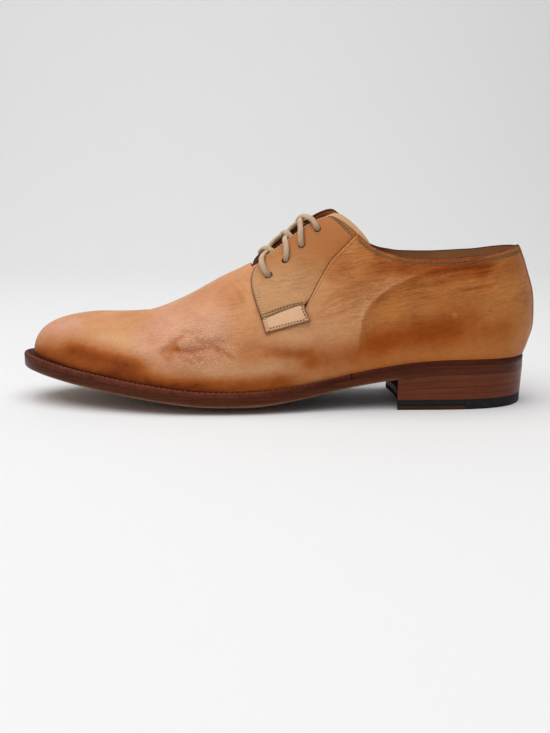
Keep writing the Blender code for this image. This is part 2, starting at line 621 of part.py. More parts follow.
def lace_path(step, side, through):
    """Path over the gap from one eyelet to the next one opposite.

    through is the share of the way kept: a strand that goes under the far facing stops at its edge.
    """
    turn, rise = eyelet_places(side)
    start = last_point(turn[step], rise[step])
    turn, rise = eyelet_places(-side)
    end = last_point(turn[step + 1], rise[step + 1])
    share = np.linspace(0, through, 9)
    station = start[0] + (end[0] - start[0]) * share
    ridge = np.interp(station, column_at("spine", np.arange(8, 13)), column_at("ridge", np.arange(8, 13)))
    beside = start[1] + (end[1] - start[1]) * share - ridge
    turn, rise = section_place(station, np.abs(beside), side_of(beside), "breadth")
    lift = table_at(LAP_ROWS, LAP_COLUMNS, "lift", EYELET_UP[step:step + 2]) * (FACING_WALL + LAP_GAP)
    clear = lift[0] + (lift[1] - lift[0]) * share + LACE_RADIUS + GAP
    dip = soft_step((share - 0.5) / 0.2) * (LACE_DIP if through < 1 else 0.0)
    return last_offset(turn, rise, clear - dip)


def build_lace():
    for step, word in enumerate(("low", "middle", "top")):
        through = 1.0 if word == "top" else 0.62
        name = "lace_" + word
        strand = tube_piece(name, lace_path(step, 1, through), LACE_RADIUS, "beige_lace_cotton")
        other = tube_piece(name + "_other", lace_path(step, -1, through), LACE_RADIUS, "beige_lace_cotton")
        other.hide_render = True
        other.display_type = "WIRE"
        cut_by(strand, other, "UNION")


def main():
    for thing in list(bpy.data.objects):
        bpy.data.objects.remove(thing, do_unlink=True)
    build_outsole()
    build_welt()
    build_heel()
    build_insole()
    build_upper()
    build_facing("facing_lateral", 1)
    build_facing("facing_medial", -1)
    build_tongue()
    build_lace()


main()
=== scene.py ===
"""Looks of a plain toe derby, a left shoe in tan calf on a welted leather sole.

Frame: +X to the toe, +Y to the outer side, +Z up, floor at z = 0, in metres. Every surface of the
upper is a stretch of one form, the last, and every surface of the bottom follows its feather edge.
"""

import json
import math

import bmesh
import bpy
import numpy as np
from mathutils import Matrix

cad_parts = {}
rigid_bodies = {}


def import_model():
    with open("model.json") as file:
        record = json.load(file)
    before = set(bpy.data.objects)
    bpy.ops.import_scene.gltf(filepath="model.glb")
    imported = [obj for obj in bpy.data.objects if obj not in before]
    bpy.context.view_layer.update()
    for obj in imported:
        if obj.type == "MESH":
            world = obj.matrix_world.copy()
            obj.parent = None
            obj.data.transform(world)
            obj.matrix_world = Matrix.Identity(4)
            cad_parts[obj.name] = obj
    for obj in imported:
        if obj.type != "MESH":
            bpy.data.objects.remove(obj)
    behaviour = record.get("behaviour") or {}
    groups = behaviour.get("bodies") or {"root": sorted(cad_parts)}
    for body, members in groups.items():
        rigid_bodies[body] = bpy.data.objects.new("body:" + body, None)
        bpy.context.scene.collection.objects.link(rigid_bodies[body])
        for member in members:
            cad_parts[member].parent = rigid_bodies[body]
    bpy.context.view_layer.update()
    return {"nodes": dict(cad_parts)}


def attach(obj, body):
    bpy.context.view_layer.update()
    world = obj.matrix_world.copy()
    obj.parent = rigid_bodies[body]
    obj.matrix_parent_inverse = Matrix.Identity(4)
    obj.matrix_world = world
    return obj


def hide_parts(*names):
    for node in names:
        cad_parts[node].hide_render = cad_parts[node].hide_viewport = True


bl_info = {
    "name": "Plain Toe Derby",
    "version": (1, 0, 0),
    "blender": (4, 5, 0),
    "location": "View3D > Sidebar > Derby",
    "description": "Builds the fine surfaces, seams, lace and finishes of a plain toe derby",
    "category": "Add Mesh",
}

for thing in list(bpy.data.objects):
    bpy.data.objects.remove(thing, do_unlink=True)
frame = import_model()

MM = 0.001

# Driving sizes of the last, and the middle of the whole shoe, measured on the last
LAST_LENGTH = 305 * MM
BALL_WIDTH = 93 * MM
INSTEP_HEIGHT = 119 * MM
SEAT_HEIGHT = 30 * MM
MIDDLE = np.array([157.12 * MM, -3.15 * MM, 0.0])

# Sections of the last, from the heel's back to the toe tip. Columns:
# foot, spine: stations of the feather edge and of the ridge, % of LAST_LENGTH
# outer, inner: lateral and medial half widths at the feather edge, % of BALL_WIDTH
# feather: height of the feather edge, % of SEAT_HEIGHT
# ridge: sideways place of the ridge, % of BALL_WIDTH; top: its height, % of INSTEP_HEIGHT
# cone: half width of the last's top, % of BALL_WIDTH, none where the ridge is closed
# lean_out, lean_in: outward lean of the wall at the feather edge, degrees, on each side
# lean_top: inward lean at the top, degrees
# wall, crest: roundness of the section at the feather edge and at the top
# margin: sole beyond the feather edge; sole: outsole's thickness; belly: its sag, all in mm
LAST_COLUMNS = ("foot", "outer", "inner", "feather", "spine", "ridge", "top", "cone",
                "lean_out", "lean_in", "lean_top", "wall", "crest", "margin", "sole", "belly")
LAST_ROWS = (
    (1.6, 0.0, 0.0, 99.3, 13.1, 0.0, 84.9, 28.5, 24, 24, 24, 0.36, 0.36, 0.0, 5.2, 0.0),
    (2.8, 12.9, -12.9, 99.6, 13.8, 0.0, 84.9, 28.5, 22, 22, 22, 0.36, 0.36, 0.2, 5.2, 0.0),
    (5.6, 23.7, -23.7, 100.3, 15.1, 0.0, 84.9, 28.5, 17, 17, 18, 0.36, 0.36, 0.4, 5.2, 0.0),
    (10.2, 30.8, -30.8, 101.0, 17.1, 0.0, 84.0, 28.5, 12, 12, 15, 0.36, 0.36, 0.6, 5.2, 0.0),
    (15.7, 33.7, -33.4, 101.0, 19.7, 0.0, 84.0, 28.5, 9, 10, 13, 0.36, 0.36, 0.8, 5.2, 0.0),
    (21.6, 34.4, -33.4, 98.7, 23.3, 0.0, 84.9, 27.4, 8, 10, 14, 0.36, 0.36, 1.0, 5.2, 0.0),
    (27.5, 34.6, -32.3, 92.0, 27.9, 0.0, 90.0, 20.5, 8, 12, 32, 0.37, 0.33, 1.2, 5.2, 0.0),
    (32.8, 34.9, -31.0, 82.7, 32.3, 0.0, 97.5, 3.0, 8, 15, 80, 0.38, 0.27, 1.6, 4.8, 0.4),
    (38.0, 35.8, -30.6, 72.0, 36.7, -0.5, 100.0, 0.0, 8, 16, 90, 0.40, 0.22, 2.0, 4.4, 1.2),
    (43.3, 38.2, -32.3, 61.0, 41.6, -1.1, 97.5, 0.0, 8, 14, 90, 0.41, 0.19, 2.5, 4.4, 2.4),
    (49.2, 41.9, -37.1, 51.3, 47.2, -1.6, 88.7, 0.0, 7, 10, 90, 0.41, 0.19, 3.0, 4.8, 4.2),
    (55.1, 45.2, -44.1, 46.0, 52.8, -2.2, 77.6, 0.0, 6, 7, 90, 0.41, 0.21, 3.2, 5.2, 5.8),
    (61.0, 46.8, -50.0, 44.7, 58.4, -3.2, 69.0, 0.0, 5, 5, 90, 0.40, 0.25, 3.3, 5.2, 5.8),
    (66.9, 46.8, -53.2, 46.3, 63.6, -4.3, 62.6, 0.0, 4, 4, 90, 0.39, 0.31, 3.4, 5.2, 5.8),
    (72.8, 45.2, -53.2, 52.7, 68.5, -5.4, 55.4, 0.0, 3, 3, 90, 0.39, 0.36, 3.6, 5.2, 5.0),
    (78.7, 41.4, -50.0, 60.7, 73.1, -5.4, 49.9, 0.0, 2, 2, 90, 0.39, 0.39, 4.0, 5.2, 4.0),
    (84.5, 35.6, -44.8, 69.7, 77.0, -5.4, 46.9, 0.0, 2, 2, 90, 0.39, 0.39, 4.4, 5.2, 3.4),
    (89.8, 28.9, -38.2, 78.0, 80.3, -5.4, 45.8, 0.0, 1, 1, 90, 0.39, 0.39, 4.8, 5.2, 2.8),
    (94.3, 21.2, -31.0, 85.7, 82.8, -5.4, 45.7, 0.0, 0, 0, 90, 0.39, 0.39, 5.2, 5.2, 2.0),
    (97.8, 12.8, -23.0, 92.0, 84.4, -5.4, 45.7, 0.0, 0, 0, 90, 0.39, 0.39, 5.6, 5.2, 1.2),
    (100.2, 4.2, -14.8, 96.7, 85.4, -5.4, 45.7, 0.0, 0, 0, 90, 0.39, 0.39, 6.0, 5.2, 0.5),
    (101.2, -5.4, -5.4, 98.7, 85.9, -5.4, 45.7, 0.0, 0, 0, 90, 0.39, 0.39, 6.2, 5.2, 0.0),
)
TOE_ROW = len(LAST_ROWS) - 1
LOOP = 2 * TOE_ROW  # sections once round, out along the outer side and back along the inner
CONE_ROW = 7.0  # section at which the last's top has closed to a ridge
PEAK_ROW = 7.69  # section at which collar and facing seam meet

# Thicknesses and gaps
GAP = 0.06 * MM  # the dressed layers lie on each other
SOLID_GAP = 0.3 * MM  # between the solids, which sets the tread's height
LAP_GAP = 0.45 * MM
FACING_WALL = 1.6 * MM
TONGUE_WALL = 1.8 * MM
TONGUE_DEPTH = 2.7 * MM
WELT_THICK = 3.0 * MM
WELT_REACH = 2.0 * MM

# Bottom
LEVEL_FROM = 0.85  # share of the half width beyond which the outsole's upper face no longer sags
SAG_POWER = 2.5  # of the place across, by which the sag ends towards the edges
JOINT_ROW = 7.85  # section at which welt and heel rand meet
JOINT_GAP = 0.045  # sections between them
BREAST_ROW = 6.1  # section of the heel's breast
BREAST_HOLLOW = 3 * MM
HEEL_TAPER = 1.2 * MM
RUBBER_THICK = 6.2 * MM
INSERT_THICK = 2.6 * MM
INSERT_ROW = 3.8  # section at which the insert meets the rubber
INSERT_GAP = 0.018  # sections between them

# Top edge of the upper from the side: station % of LAST_LENGTH, height % of INSTEP_HEIGHT
COLLAR_LINE = ((0.0, 80.6), (3.6, 80.2), (7.0, 78.8), (10.5, 77.2), (13.8, 76.4), (19.5, 75.5),
               (25.2, 75.7), (28.0, 76.5), (31.0, 78.5), (33.2, 81.2), (35.0, 84.8), (36.0, 87.2))
SEAM_LINE = ((36.0, 87.2), (39.1, 79.5), (40.5, 76.0), (41.7, 72.1), (43.7, 63.3), (45.3, 55.5),
             (46.0, 52.3))
UNDERLAP_LINE = ((46.0, 52.3), (47.2, 50.6), (49.2, 51.6), (51.5, 55.7), (53.4, 60.5), (55.4, 66.4),
                 (56.9, 71.1))

# Facing's front and eyelet edge: station % of LAST_LENGTH, girth down the section from the ridge in mm
FACING_FRONT = ((53.7, 65.0), (54.6, 54.0), (55.6, 42.3), (56.3, 31.8), (56.4, 23.0), (55.8, 16.0),
                (54.7, 11.0), (53.0, 9.0), (50.3, 8.0), (47.1, 7.5), (44.2, 7.5), (42.6, 8.5), (41.3, 10.0),
                (40.2, 12.5))
# Facing's tab and rear seam, and its eyelets: station % of LAST_LENGTH, height % of INSTEP_HEIGHT
FACING_REAR = ((45.1, 45.4), (46.2, 52.2), (45.4, 55.6), (43.8, 63.4), (41.8, 72.2), (40.6, 76.1),
               (39.2, 79.6), (36.1, 87.3))
MEDIAL_REACH = 6.0 * MM  # how much nearer the ridge the medial eyelet edge lies
MEDIAL_STAND = 0.8 * MM  # and how much it stands off the foot
FACING_GAP = 0.1 * MM
EYELET_LINE = ((52.9, 65.8), (43.5, 88.5))
EYELETS = 4
EYELET_RADIUS = 2.1 * MM
PUNCH_REACH = 8 * MM

# Facing's lap over the vamp: place up the facing, share of its width lapped, share of the full lift
LAP_COLUMNS = ("place", "lapped", "lift")
LAP_ROWS = ((0.0, 1.0, 1.0), (0.2, 1.0, 1.0), (0.27, 0.6, 1.0), (0.35, 0.4, 1.0), (0.45, 0.12, 1.0),
            (0.65, 0.05, 0.6), (1.0, 0.0, 0.3))

# Tab's upper line on the facing: place up the facing at the front edge and at the rear edge
TAB_LINE = (0.095, 0.165)

# Stitches on a facing: distance inside its front edge in mm, and two rows over the tab's upper line
STITCH_INSET = 2.3
TAB_STITCHES = (0.006, 0.027)

# Stitches round the tab: place up the facing of the row along its foot, distance before its rear edge
TAB_FOOT = 0.026
TAB_INSET = 1.7 * MM

# Rows of stitches along the collar: distances below its edge in mm
COLLAR_STITCHES = (2.4, 3.7)

# Thread of the upper and of the welt, and the welt's stitches
THREAD_WIDTH = 0.8 * MM
THREAD_HEIGHT = 0.75 * MM
WELT_THREAD_HEIGHT = 0.6 * MM
WELT_STITCH_SHARE = 0.72  # of the pitch
WELT_STITCH_INSET = 1.7 * MM  # from the welt's edge

# Tongue: place up the tongue, station of its middle % of LAST_LENGTH, half girth in mm
TONGUE_COLUMNS = ("place", "station", "half")
TONGUE_ROWS = ((0.0, 60.5, 17.0), (0.15, 57.0, 20.0), (0.5, 48.5, 23.0), (0.85, 42.2, 30.0),
               (1.0, 40.0, 32.0))
TONGUE_DROP = 7.5  # how much further back its wings reach than its middle, % of LAST_LENGTH

# Front edge of the stiff heel counter on the outer side, and the vamp's break behind the stiff toe:
# (station, height) mm
COUNTER_LINE = ((108.8, 46), (107.5, 55), (104, 62), (98, 68), (90, 73.5), (81, 78))
VAMP_BREAK = ((238.5, 56.5), (235, 51), (233, 45), (231, 37))

# Creases and bulges of the worn upper: side (1 lateral, -1 medial), half width mm, height mm (troughs are
# negative), reach mm of the slope before a crest (0 for a plain line), then a path of (station mm, height mm)
CREASES = (
    # crest where the soft quarter folds over the stiff heel counter, and the sunk ground before it
    (1, 2.6, 1.5, 7, ((110, 34), *COUNTER_LINE, (72.5, 81), (58, 83.5))),
    # pull wrinkles that run into it
    (1, 1.3, -0.40, 0, ((134, 60.5), (124, 66.5), (117, 70), (106, 73))),
    (1, 1.3, -0.34, 0, ((130, 64.5), (122, 70), (113, 73.5), (101, 75))),
    (1, 1.2, -0.32, 0, ((136, 57), (125, 62.5), (116, 66.5), (108, 68.5))),
    (1, 1.2, -0.32, 0, ((123, 57.5), (113, 61.5), (104.5, 65))),
    (1, 1.1, -0.28, 0, ((139, 55), (126, 57), (112, 59.5))),
    (1, 1.1, -0.28, 0, ((128, 76.5), (112, 76), (95, 78.5))),
    (1, 1.1, -0.26, 0, ((124, 80.5), (108, 80), (90, 82.5))),
    (1, 1.1, -0.24, 0, ((122, 84.5), (108, 84), (96, 85.5))),
    (1, 1.1, -0.24, 0, ((122, 51), (114, 54), (107, 56))),
    # long shallow folds high on the quarter
    (1, 1.5, -0.60, 0, ((76, 80), (62, 82), (50, 83.5), (38, 84.5), (24, 86))),
    (1, 1.4, -0.52, 0, ((68, 74.5), (56, 77), (44, 78.5), (31, 79.5))),
    (1, 1.4, -0.46, 0, ((54, 71), (41, 72), (27, 74))),
    (1, 1.3, -0.44, 0, ((62, 78.5), (50, 80), (38, 81), (27, 82.5))),
    (1, 1.3, -0.36, 0, ((84, 71.5), (72, 74), (60, 75))),
    # flex wrinkles over the ball
    (1, 2.2, -0.85, 0, ((227, 35), (218, 38), (210, 37), (202, 38), (195, 39.5), (189, 36), (182, 33))),
    (1, 1.8, -0.65, 0, ((227, 33.5), (222, 38), (216, 42.5), (209, 46))),
    (1, 1.6, -0.55, 0, ((199, 42.5), (191, 38.5), (185.5, 35), (180, 30.5))),
    (1, 1.5, -0.50, 0, ((211, 38), (205, 35), (200, 30.5))),
    (1, 1.5, -0.45, 0, ((206, 43.5), (198, 41.5), (192, 43), (184, 41.5))),
    (1, 1.4, -0.40, 0, ((216, 35), (210, 32), (204, 28.5))),
    (1, 1.4, -0.35, 0, ((214, 48), (206, 47), (199, 48.5))),
    (1, 1.4, -0.35, 0, ((222, 44), (216, 38.5), (213, 33))),
    (1, 4.5, 0.55, 0, ((222, 47), (210, 43), (198, 46), (184, 46))),
    (1, 4, 0.5, 0, ((222, 31), (208, 30), (194, 32), (182, 27))),
    # dip where the vamp breaks behind the stiff toe
    (1, 8, -1.1, 0, VAMP_BREAK),
    (-1, 8, -1.1, 0, VAMP_BREAK),
    (1, 6, 0.5, 0, ((224, 60), (222.5, 54), (221, 49))),
    # soft troughs and bulges between the ball and the waist
    (1, 4, -1.1, 0, ((183, 35.5), (170, 39), (161, 37), (149, 34.5), (136, 32))),
    (1, 6, 0.9, 0, ((164, 46), (152, 43.5), (143, 43.5), (129, 41))),
    (1, 4, -0.7, 0, ((156, 29), (143, 28.5), (129, 28))),
    (1, 4, -0.5, 0, ((220, 26), (206, 22.5), (195, 20.5), (180, 21.5))),
    (1, 3.5, 0.5, 0, ((180, 30), (168, 31), (156, 31))),
    (1, 2.2, 0.55, 0, ((190, 75.5), (182.5, 68), (179, 63.5), (175.5, 57))),
    (1, 2, -0.45, 0, ((185, 75), (178.5, 68), (175, 62))),
    (1, 1.3, -0.30, 0, ((183, 77), (177, 72), (173, 66))),
    # inner side
    (-1, 3, -0.8, 0, ((222, 44), (210, 40), (196, 37), (182, 33))),
    (-1, 1.8, -0.45, 0, ((214, 49), (204, 45), (192, 43))),
    (-1, 2.6, 1.1, 7, ((110, 42), (106, 58), (97, 69), (84, 77), (66, 82))),
    (-1, 4.5, -0.8, 0, ((178, 38), (162, 36), (146, 33))),
)

# Tones of the upper, some rubbed in and some painted light and shade: which mask, side (0 both), which half
# of the band is kept (0 both, 1 towards the heel, -1 towards the toe), half width mm, strength, path of
# (station, height) mm
TONES = (
    # polish rubbed into the toe and along the sole
    ("burnish", 0, 0, 10, 0.30, ((308, 36), (294, 33), (274, 28), (252, 23), (232, 19.5), (210, 17))),
    ("burnish", 1, 0, 5.4, 0.54, ((290, 36), (276, 34.5), (262, 32), (247, 29.5), (228, 26.5))),
    ("burnish", 1, 0, 5, 0.32, ((270, 25), (248, 21), (226, 18.5), (206, 16.5), (188, 16))),
    ("burnish", 1, 0, 4.8, 0.46, ((226, 18), (206, 16.5), (196, 16.5), (178, 17.5), (160, 19), (136, 20.5))),
    ("burnish", 1, 0, 4, 0.28, ((224, 31.5), (219, 36), (213, 40.5))),
    ("burnish", 1, 0, 4, 0.22, ((184, 34), (168, 34), (158, 35.5), (146, 36), (130, 37))),
    ("burnish", 1, 0, 9.5, 0.40, ((150, 33), (134, 32), (118, 33), (106, 37), (96, 41), (84, 43))),
    ("burnish", -1, 0, 6, 0.40, ((196, 24), (160, 23), (130, 25))),
    # and into the quarters
    ("burnish", 0, 0, 6.5, 0.40, ((112, 88), (98, 84.5), (84, 84), (60, 85), (24, 88))),
    # painted shade below the counter's fold, where it faces down, over polish on the counter
    ("burnish", 1, 1, 12, 0.10, ((110, 30), *COUNTER_LINE, (72.5, 81), (56, 84))),
    ("burnish", 0, 0, 9, 0.20, ((96, 48), (70, 44), (42, 46))),
    ("burnish", 1, 0, 6, 0.16, ((84, 54), (66, 52), (48, 56), (34, 62))),
    ("burnish", 1, 0, 9.5, 0.32, ((112, 38), (90, 42), (66, 47), (40, 47.5), (14, 48.5), (2, 49))),
    ("burnish", 1, 0, 12, 0.14, ((70, 64), (50, 66), (28, 68))),
    ("burnish", 1, 0, 6, 0.22, ((44, 80), (24, 83), (6, 85))),
    ("burnish", 1, 0, 6, 0.26, ((129, 76), (122, 85), (115, 94))),
    ("burnish", 1, 0, 7, 0.16, ((196, 67), (186, 65.5), (178, 62))),
    ("burnish", 1, 0, 12, 0.08, ((214, 60), (192, 69), (178, 74))),
    # faded calf and painted sheen over the ball, painted highlights and light on toe, ball and fold, rubbed
    # high spots
    # faded calf with painted sheen over the top of the vamp
    ("pink", 0, 0, 22, 1, ((246, 48), (216, 46), (178, 46))),
    # painted highlight: the sheen on the top of the toe
    ("pink", 0, 0, 9, 0.85, ((306, 42), (292, 46), (272, 51))),
    # painted highlight: a streak along the toe's side where it curves over
    ("pale", 1, 0, 4.5, 0.45, ((272, 43), (252, 41.5), (242, 40), (228, 35))),
    ("pale", 1, 0, 2.6, 0.30, ((262, 25), (246, 22.5), (230, 20.5), (214, 19.5))),
    # painted light: lifts a band low on the ball's side out of its shade
    ("pale", 1, 0, 4.5, 0.42, ((216, 26), (196, 25.5), (180, 26), (166, 28), (146, 28))),
    ("pale", 1, 0, 12, 0.20, ((214, 58), (196, 60), (182, 64))),
    # rubbed calf and painted light on the side of the fold that faces the light
    ("pale", 1, -1, 9, 0.30, ((110, 30), *COUNTER_LINE)),
    # painted highlight along the crest of the fold
    ("pale", 1, -1, 1.5, 0.30, ((110, 34), *COUNTER_LINE, (70, 81))),
    ("pale", 1, 0, 8, 0.30, ((160, 45), (142, 45), (128, 48), (119, 56))),
    ("pale", 1, 0, 1, 0.80, ((54.8, 59), (51.8, 55))),
    ("pale", 1, 0, 0.7, 0.70, ((250, 32), (248.8, 27))),
)

# Lace strands over the gap: station mm, girth from the ridge mm (lateral positive), height over the last mm
LACE_STRANDS = {
    "lateral_low": (
        (161, 28.8, -3.5), (161.3, 29, 1), (162.5, 27, 3.6), (163.9, 22, 4.3), (164.6, 15, 4),
        (163.9, 8.5, 2.4), (162.6, 4.5, 1.2), (160.8, 0.5, 2), (158, -0.8, 3), (155.5, -1.6, 3.2),
        (151.6, -2.2, 3.1), (149.6, -2.6, 1.4), (149.2, -3.4, -2.2), (150, -14, -3),
    ),
    "medial_low": (
        (161, -27.3, -3.5), (161.3, -27.5, 1), (162.8, -25, 3.4), (164.8, -18, 3.6), (165.6, -11, 3.6),
        (165.1, -6, 3.6), (163.2, -1, 3.1), (161.3, 4, 2.4), (159.6, 7.5, 0.4), (157.6, 11, -2),
        (154, 19, -2.8),
    ),
    "lateral_middle": (
        (151.3, 25.1, -3.5), (151.4, 25.3, 1.2), (150.4, 22.5, 2.9), (150.3, 16, 3.1), (151, 9, 2.6),
        (151, 4, 1.2), (149.6, 0, 2), (147, -1.4, 3), (143.4, -2, 3), (141.2, -2.4, 1.4),
        (140.8, -3.2, -2.2), (141.6, -14, -3),
    ),
    "medial_middle": (
        (151.4, -23.8, -3.5), (151.8, -24, 1), (152.6, -21.5, 3.1), (153.4, -14, 3.5), (152.8, -8.5, 4),
        (152, -5.5, 4), (150.6, -0.5, 3.4), (149.4, 4, 2.3), (148.4, 7.5, 0.2), (147, 11, -2),
        (144.5, 17, -2.8),
    ),
    "lateral_top": (
        (141.9, 21.5, -3.5), (142.2, 21.8, 1), (141.9, 18.5, 2.8), (141.5, 12, 3.3), (141.3, 5, 3.5),
        (141.2, 1, 3.7), (140.6, -3.5, 3.1), (138.6, -8.5, 3), (135.4, -13.2, 2.8), (133, -16.2, 1.4),
        (132.7, -16.6, -3.5),
    ),
    "medial_top": (
        (141.9, -20.5, -3.5), (142.2, -20.8, 1), (142.8, -17, 3.4), (142.4, -12, 4.7), (141.5, -7, 5.3),
        (139.6, -1, 4.8), (136.6, 5, 3.3), (134.2, 11, 2.7), (132.9, 16, 1.6), (132.7, 17.1, -3.5),
    ),
}

LACE_FLATNESS = 0.74  # thickness of the lace over its width
LACE_END_SHADE = 11  # mm from its ends over which the painted shade at the eyelets fades

# Reading of the creases and tones
LINE_FADE = 0.22  # share of a line at each end over which it fades out
DEEP_TROUGH = 0.9  # mm, a trough of this depth is painted fully dark as its shade
NARROW_TROUGH = 1.6  # mm, wider troughs, whose own slopes shade them, get less painted shade
SLOW_WAVES = ((0.13, 0.05, 0.21, 0.0), (0.21, -0.11, 0.09, 7.8), (0.09, 0.17, -0.26, 12.6),
              (0.30, 0.08, 0.24, 3.6))  # radians a mm along X, Y and Z, and phase
QUARTER_STATION = 92  # mm, where the quarters' colour begins to give way to the vamp's
BALL_PLACE = (201, 24)  # mm, station and height over the feather edge of the middle of the flex
DARKEST_POLISH_AND_SHADE = 0.88  # most that a place is darkened by polish and painted shade, from 0 to 1
STITCH_DENT = 0.45  # mm, half width of the dent along a row of stitches

# Relief of the upper
CLOSED_RISE = 0.985  # a section whose top edge lies above this rise counts as closed
WAVE_HEIGHT = 0.22 * MM
SEAM_ROLL = 0.45 * MM  # beside the facing seam
COLLAR_ROUNDING = 0.45 * MM  # of the outer face at the top edge
SEAM_ROUNDING = 0.20 * MM
RIM_HEIGHT = 0.5 * MM

# Finishes
WAX_TINT = "#ffdfbc"
PLAIN_GLOSS = 0.5  # reflection of fibres without a finish
# Patches of pull wrinkles and the uneven skin of calf: patterns as new_material() reads them
SKIN_CLOUDS = ((14.0, 2.0, 0.5, 0.0), (2.2, 4.0, 0.6, 0.0))

# Paper sweep in metres, soft boxes (name, size m, power W, place, aim), and the room's light
SWEEP_HALF_WIDTH = 3.0
SWEEP_FRONT = 6.0
SWEEP_BACK = -0.75
SWEEP_BEND = 0.5
SWEEP_TOP = 2.6
SOFT_BOXES = (("soft_box_above", 2.0, 28.5, (0.2, 0.25, 1.45), (0.0, -0.1, 0.0)),
              ("soft_box_front", 1.2, 2.5, (0.8, 1.3, 0.7), (0.0, 0.0, 0.05)))
ROOM_COLOUR = (0.97, 0.98, 1.0, 1.0)
ROOM_STRENGTH = 0.16

# Camera at the picture's angle, its place in the last's frame
PICTURE_HEIGHT = 733  # pixels
FOCAL_LENGTH = 988  # pixels
SENSOR_SIZE = 36.0  # mm
CAMERA_PLACE = np.array([158.3, 604.0, 142.0]) * MM
CAMERA_DIP = math.radians(11.42)


def spline_weights(values):
    """Control values of the periodic cubic B-spline that passes through the given values."""
    ones = np.eye(len(values))
    matrix = (4 * ones + np.roll(ones, 1, axis=1) + np.roll(ones, -1, axis=1)) / 6
    return np.linalg.solve(matrix, np.asarray(values, float))


def once_round(outer, inner):
    """A column's values in order once round the shoe, lateral out and medial back."""
    return spline_weights([*outer, *inner[-2:0:-1]])


def last_columns():
    """The last's columns in metres and radians, as control values once round the shoe."""
    length, width, degree = LAST_LENGTH / 100, BALL_WIDTH / 100, math.pi / 180
    scale = {"foot": length, "spine": length, "outer": width, "inner": width, "ridge": width, "cone": width,
             "feather": SEAT_HEIGHT / 100, "top": INSTEP_HEIGHT / 100, "lean_out": degree, "lean_in": degree,
             "lean_top": degree, "wall": 1.0, "crest": 1.0, "margin": MM, "sole": MM, "belly": MM}
    rows = np.array(LAST_ROWS, float)
    column = {name: rows[:, i] * scale[name] for i, name in enumerate(LAST_COLUMNS)}
    loops = {name: once_round(column[name], column[name]) for name in LAST_COLUMNS}
    loops["side"] = once_round(column["outer"], column["inner"])
    loops["lean"] = once_round(column["lean_out"], column["lean_in"])
    return loops


LAST = last_columns()


def column_at(name, turn):
    """A column's value at a place round the shoe, counted in sections from the heel's back."""
    turn = np.asarray(turn, float)
    whole = np.floor(turn).astype(int)
    part = turn - whole
    weights = ((1 - part) ** 3, 3 * part ** 3 - 6 * part ** 2 + 4,
               -3 * part ** 3 + 3 * part ** 2 + 3 * part + 1, part ** 3)
    values = LAST[name]
    return sum(w * values[(whole + k - 1) % LOOP] for k, w in enumerate(weights)) / 6


def soft_step(value):
    """0 below 0 and 1 above 1, with a smooth rise between: 3v^2 - 2v^3."""
    value = np.clip(value, 0, 1)
    return value * value * (3 - 2 * value)


def ridge_slope(turn):
    """Rise of the ridge for a step along it, so that both sides meet it without a crease."""
    step = 0.05
    run = column_at("spine", turn + step) - column_at("spine", turn - step)
    climb = column_at("top", turn + step) - column_at("top", turn - step)
    return climb * run / (run ** 2 + (0.02 * MM) ** 2)


def last_point(turn, rise):
    """Point of the last. turn goes round the shoe, rise from the feather edge (0) to the top (1).

    Each section is a cubic arc: it leaves the feather edge with the wall's lean and arrives at
    the ridge, or at the top of the cone, with the lean of the top, level with the ridge's run.
    """
    turn, rise = np.asarray(turn, float), np.asarray(rise, float)
    foot = np.stack([column_at("foot", turn), column_at("side", turn), column_at("feather", turn)], -1)
    spine = np.stack([column_at("spine", turn), column_at("ridge", turn), column_at("top", turn)], -1)
    inward = (spine - foot) * np.array([1.0, 1.0, 0.0])
    inward /= np.linalg.norm(inward, axis=-1, keepdims=True)
    row = np.minimum(turn % LOOP, LOOP - turn % LOOP)
    crown = spine - inward * (column_at("cone", turn) * soft_step(CONE_ROW - row))[..., None]
    chord = np.linalg.norm(crown - foot, axis=-1, keepdims=True)
    up = np.array([0.0, 0.0, 1.0])
    lean = column_at("lean", turn)[..., None]
    lean_top = np.minimum(column_at("lean_top", turn), math.pi / 2)[..., None]
    start = np.cos(lean) * up - np.sin(lean) * inward
    slope = (ridge_slope(turn) * inward[..., 0])[..., None]
    end = np.cos(lean_top) * up + np.sin(lean_top) * (inward + slope * up)
    after_foot = foot + chord * column_at("wall", turn)[..., None] * start
    before_crown = crown - chord * column_at("crest", turn)[..., None] * end
    t = rise[..., None]
    return ((1 - t) ** 3 * foot + 3 * t * (1 - t) ** 2 * after_foot
            + 3 * t ** 2 * (1 - t) * before_crown + t ** 3 * crown)


def last_normal(turn, rise):
    """Outward unit normal of the last: the cross product of small steps up and along the surface."""
    step = 0.004
    turn, rise = np.broadcast_arrays(np.asarray(turn, float), np.asarray(rise, float))
    along = last_point(turn + step, rise) - last_point(turn - step, rise)
    over = last_point(turn, np.minimum(rise + step, 1)) - last_point(turn, np.maximum(rise - step, 0))
    normal = np.cross(over, along)
    return normal / np.linalg.norm(normal, axis=-1, keepdims=True)


def last_offset(turn, rise, lift):
    """Point that lies lift outside the last."""
    return last_point(turn, rise) + np.asarray(lift, float)[..., None] * last_normal(turn, rise)


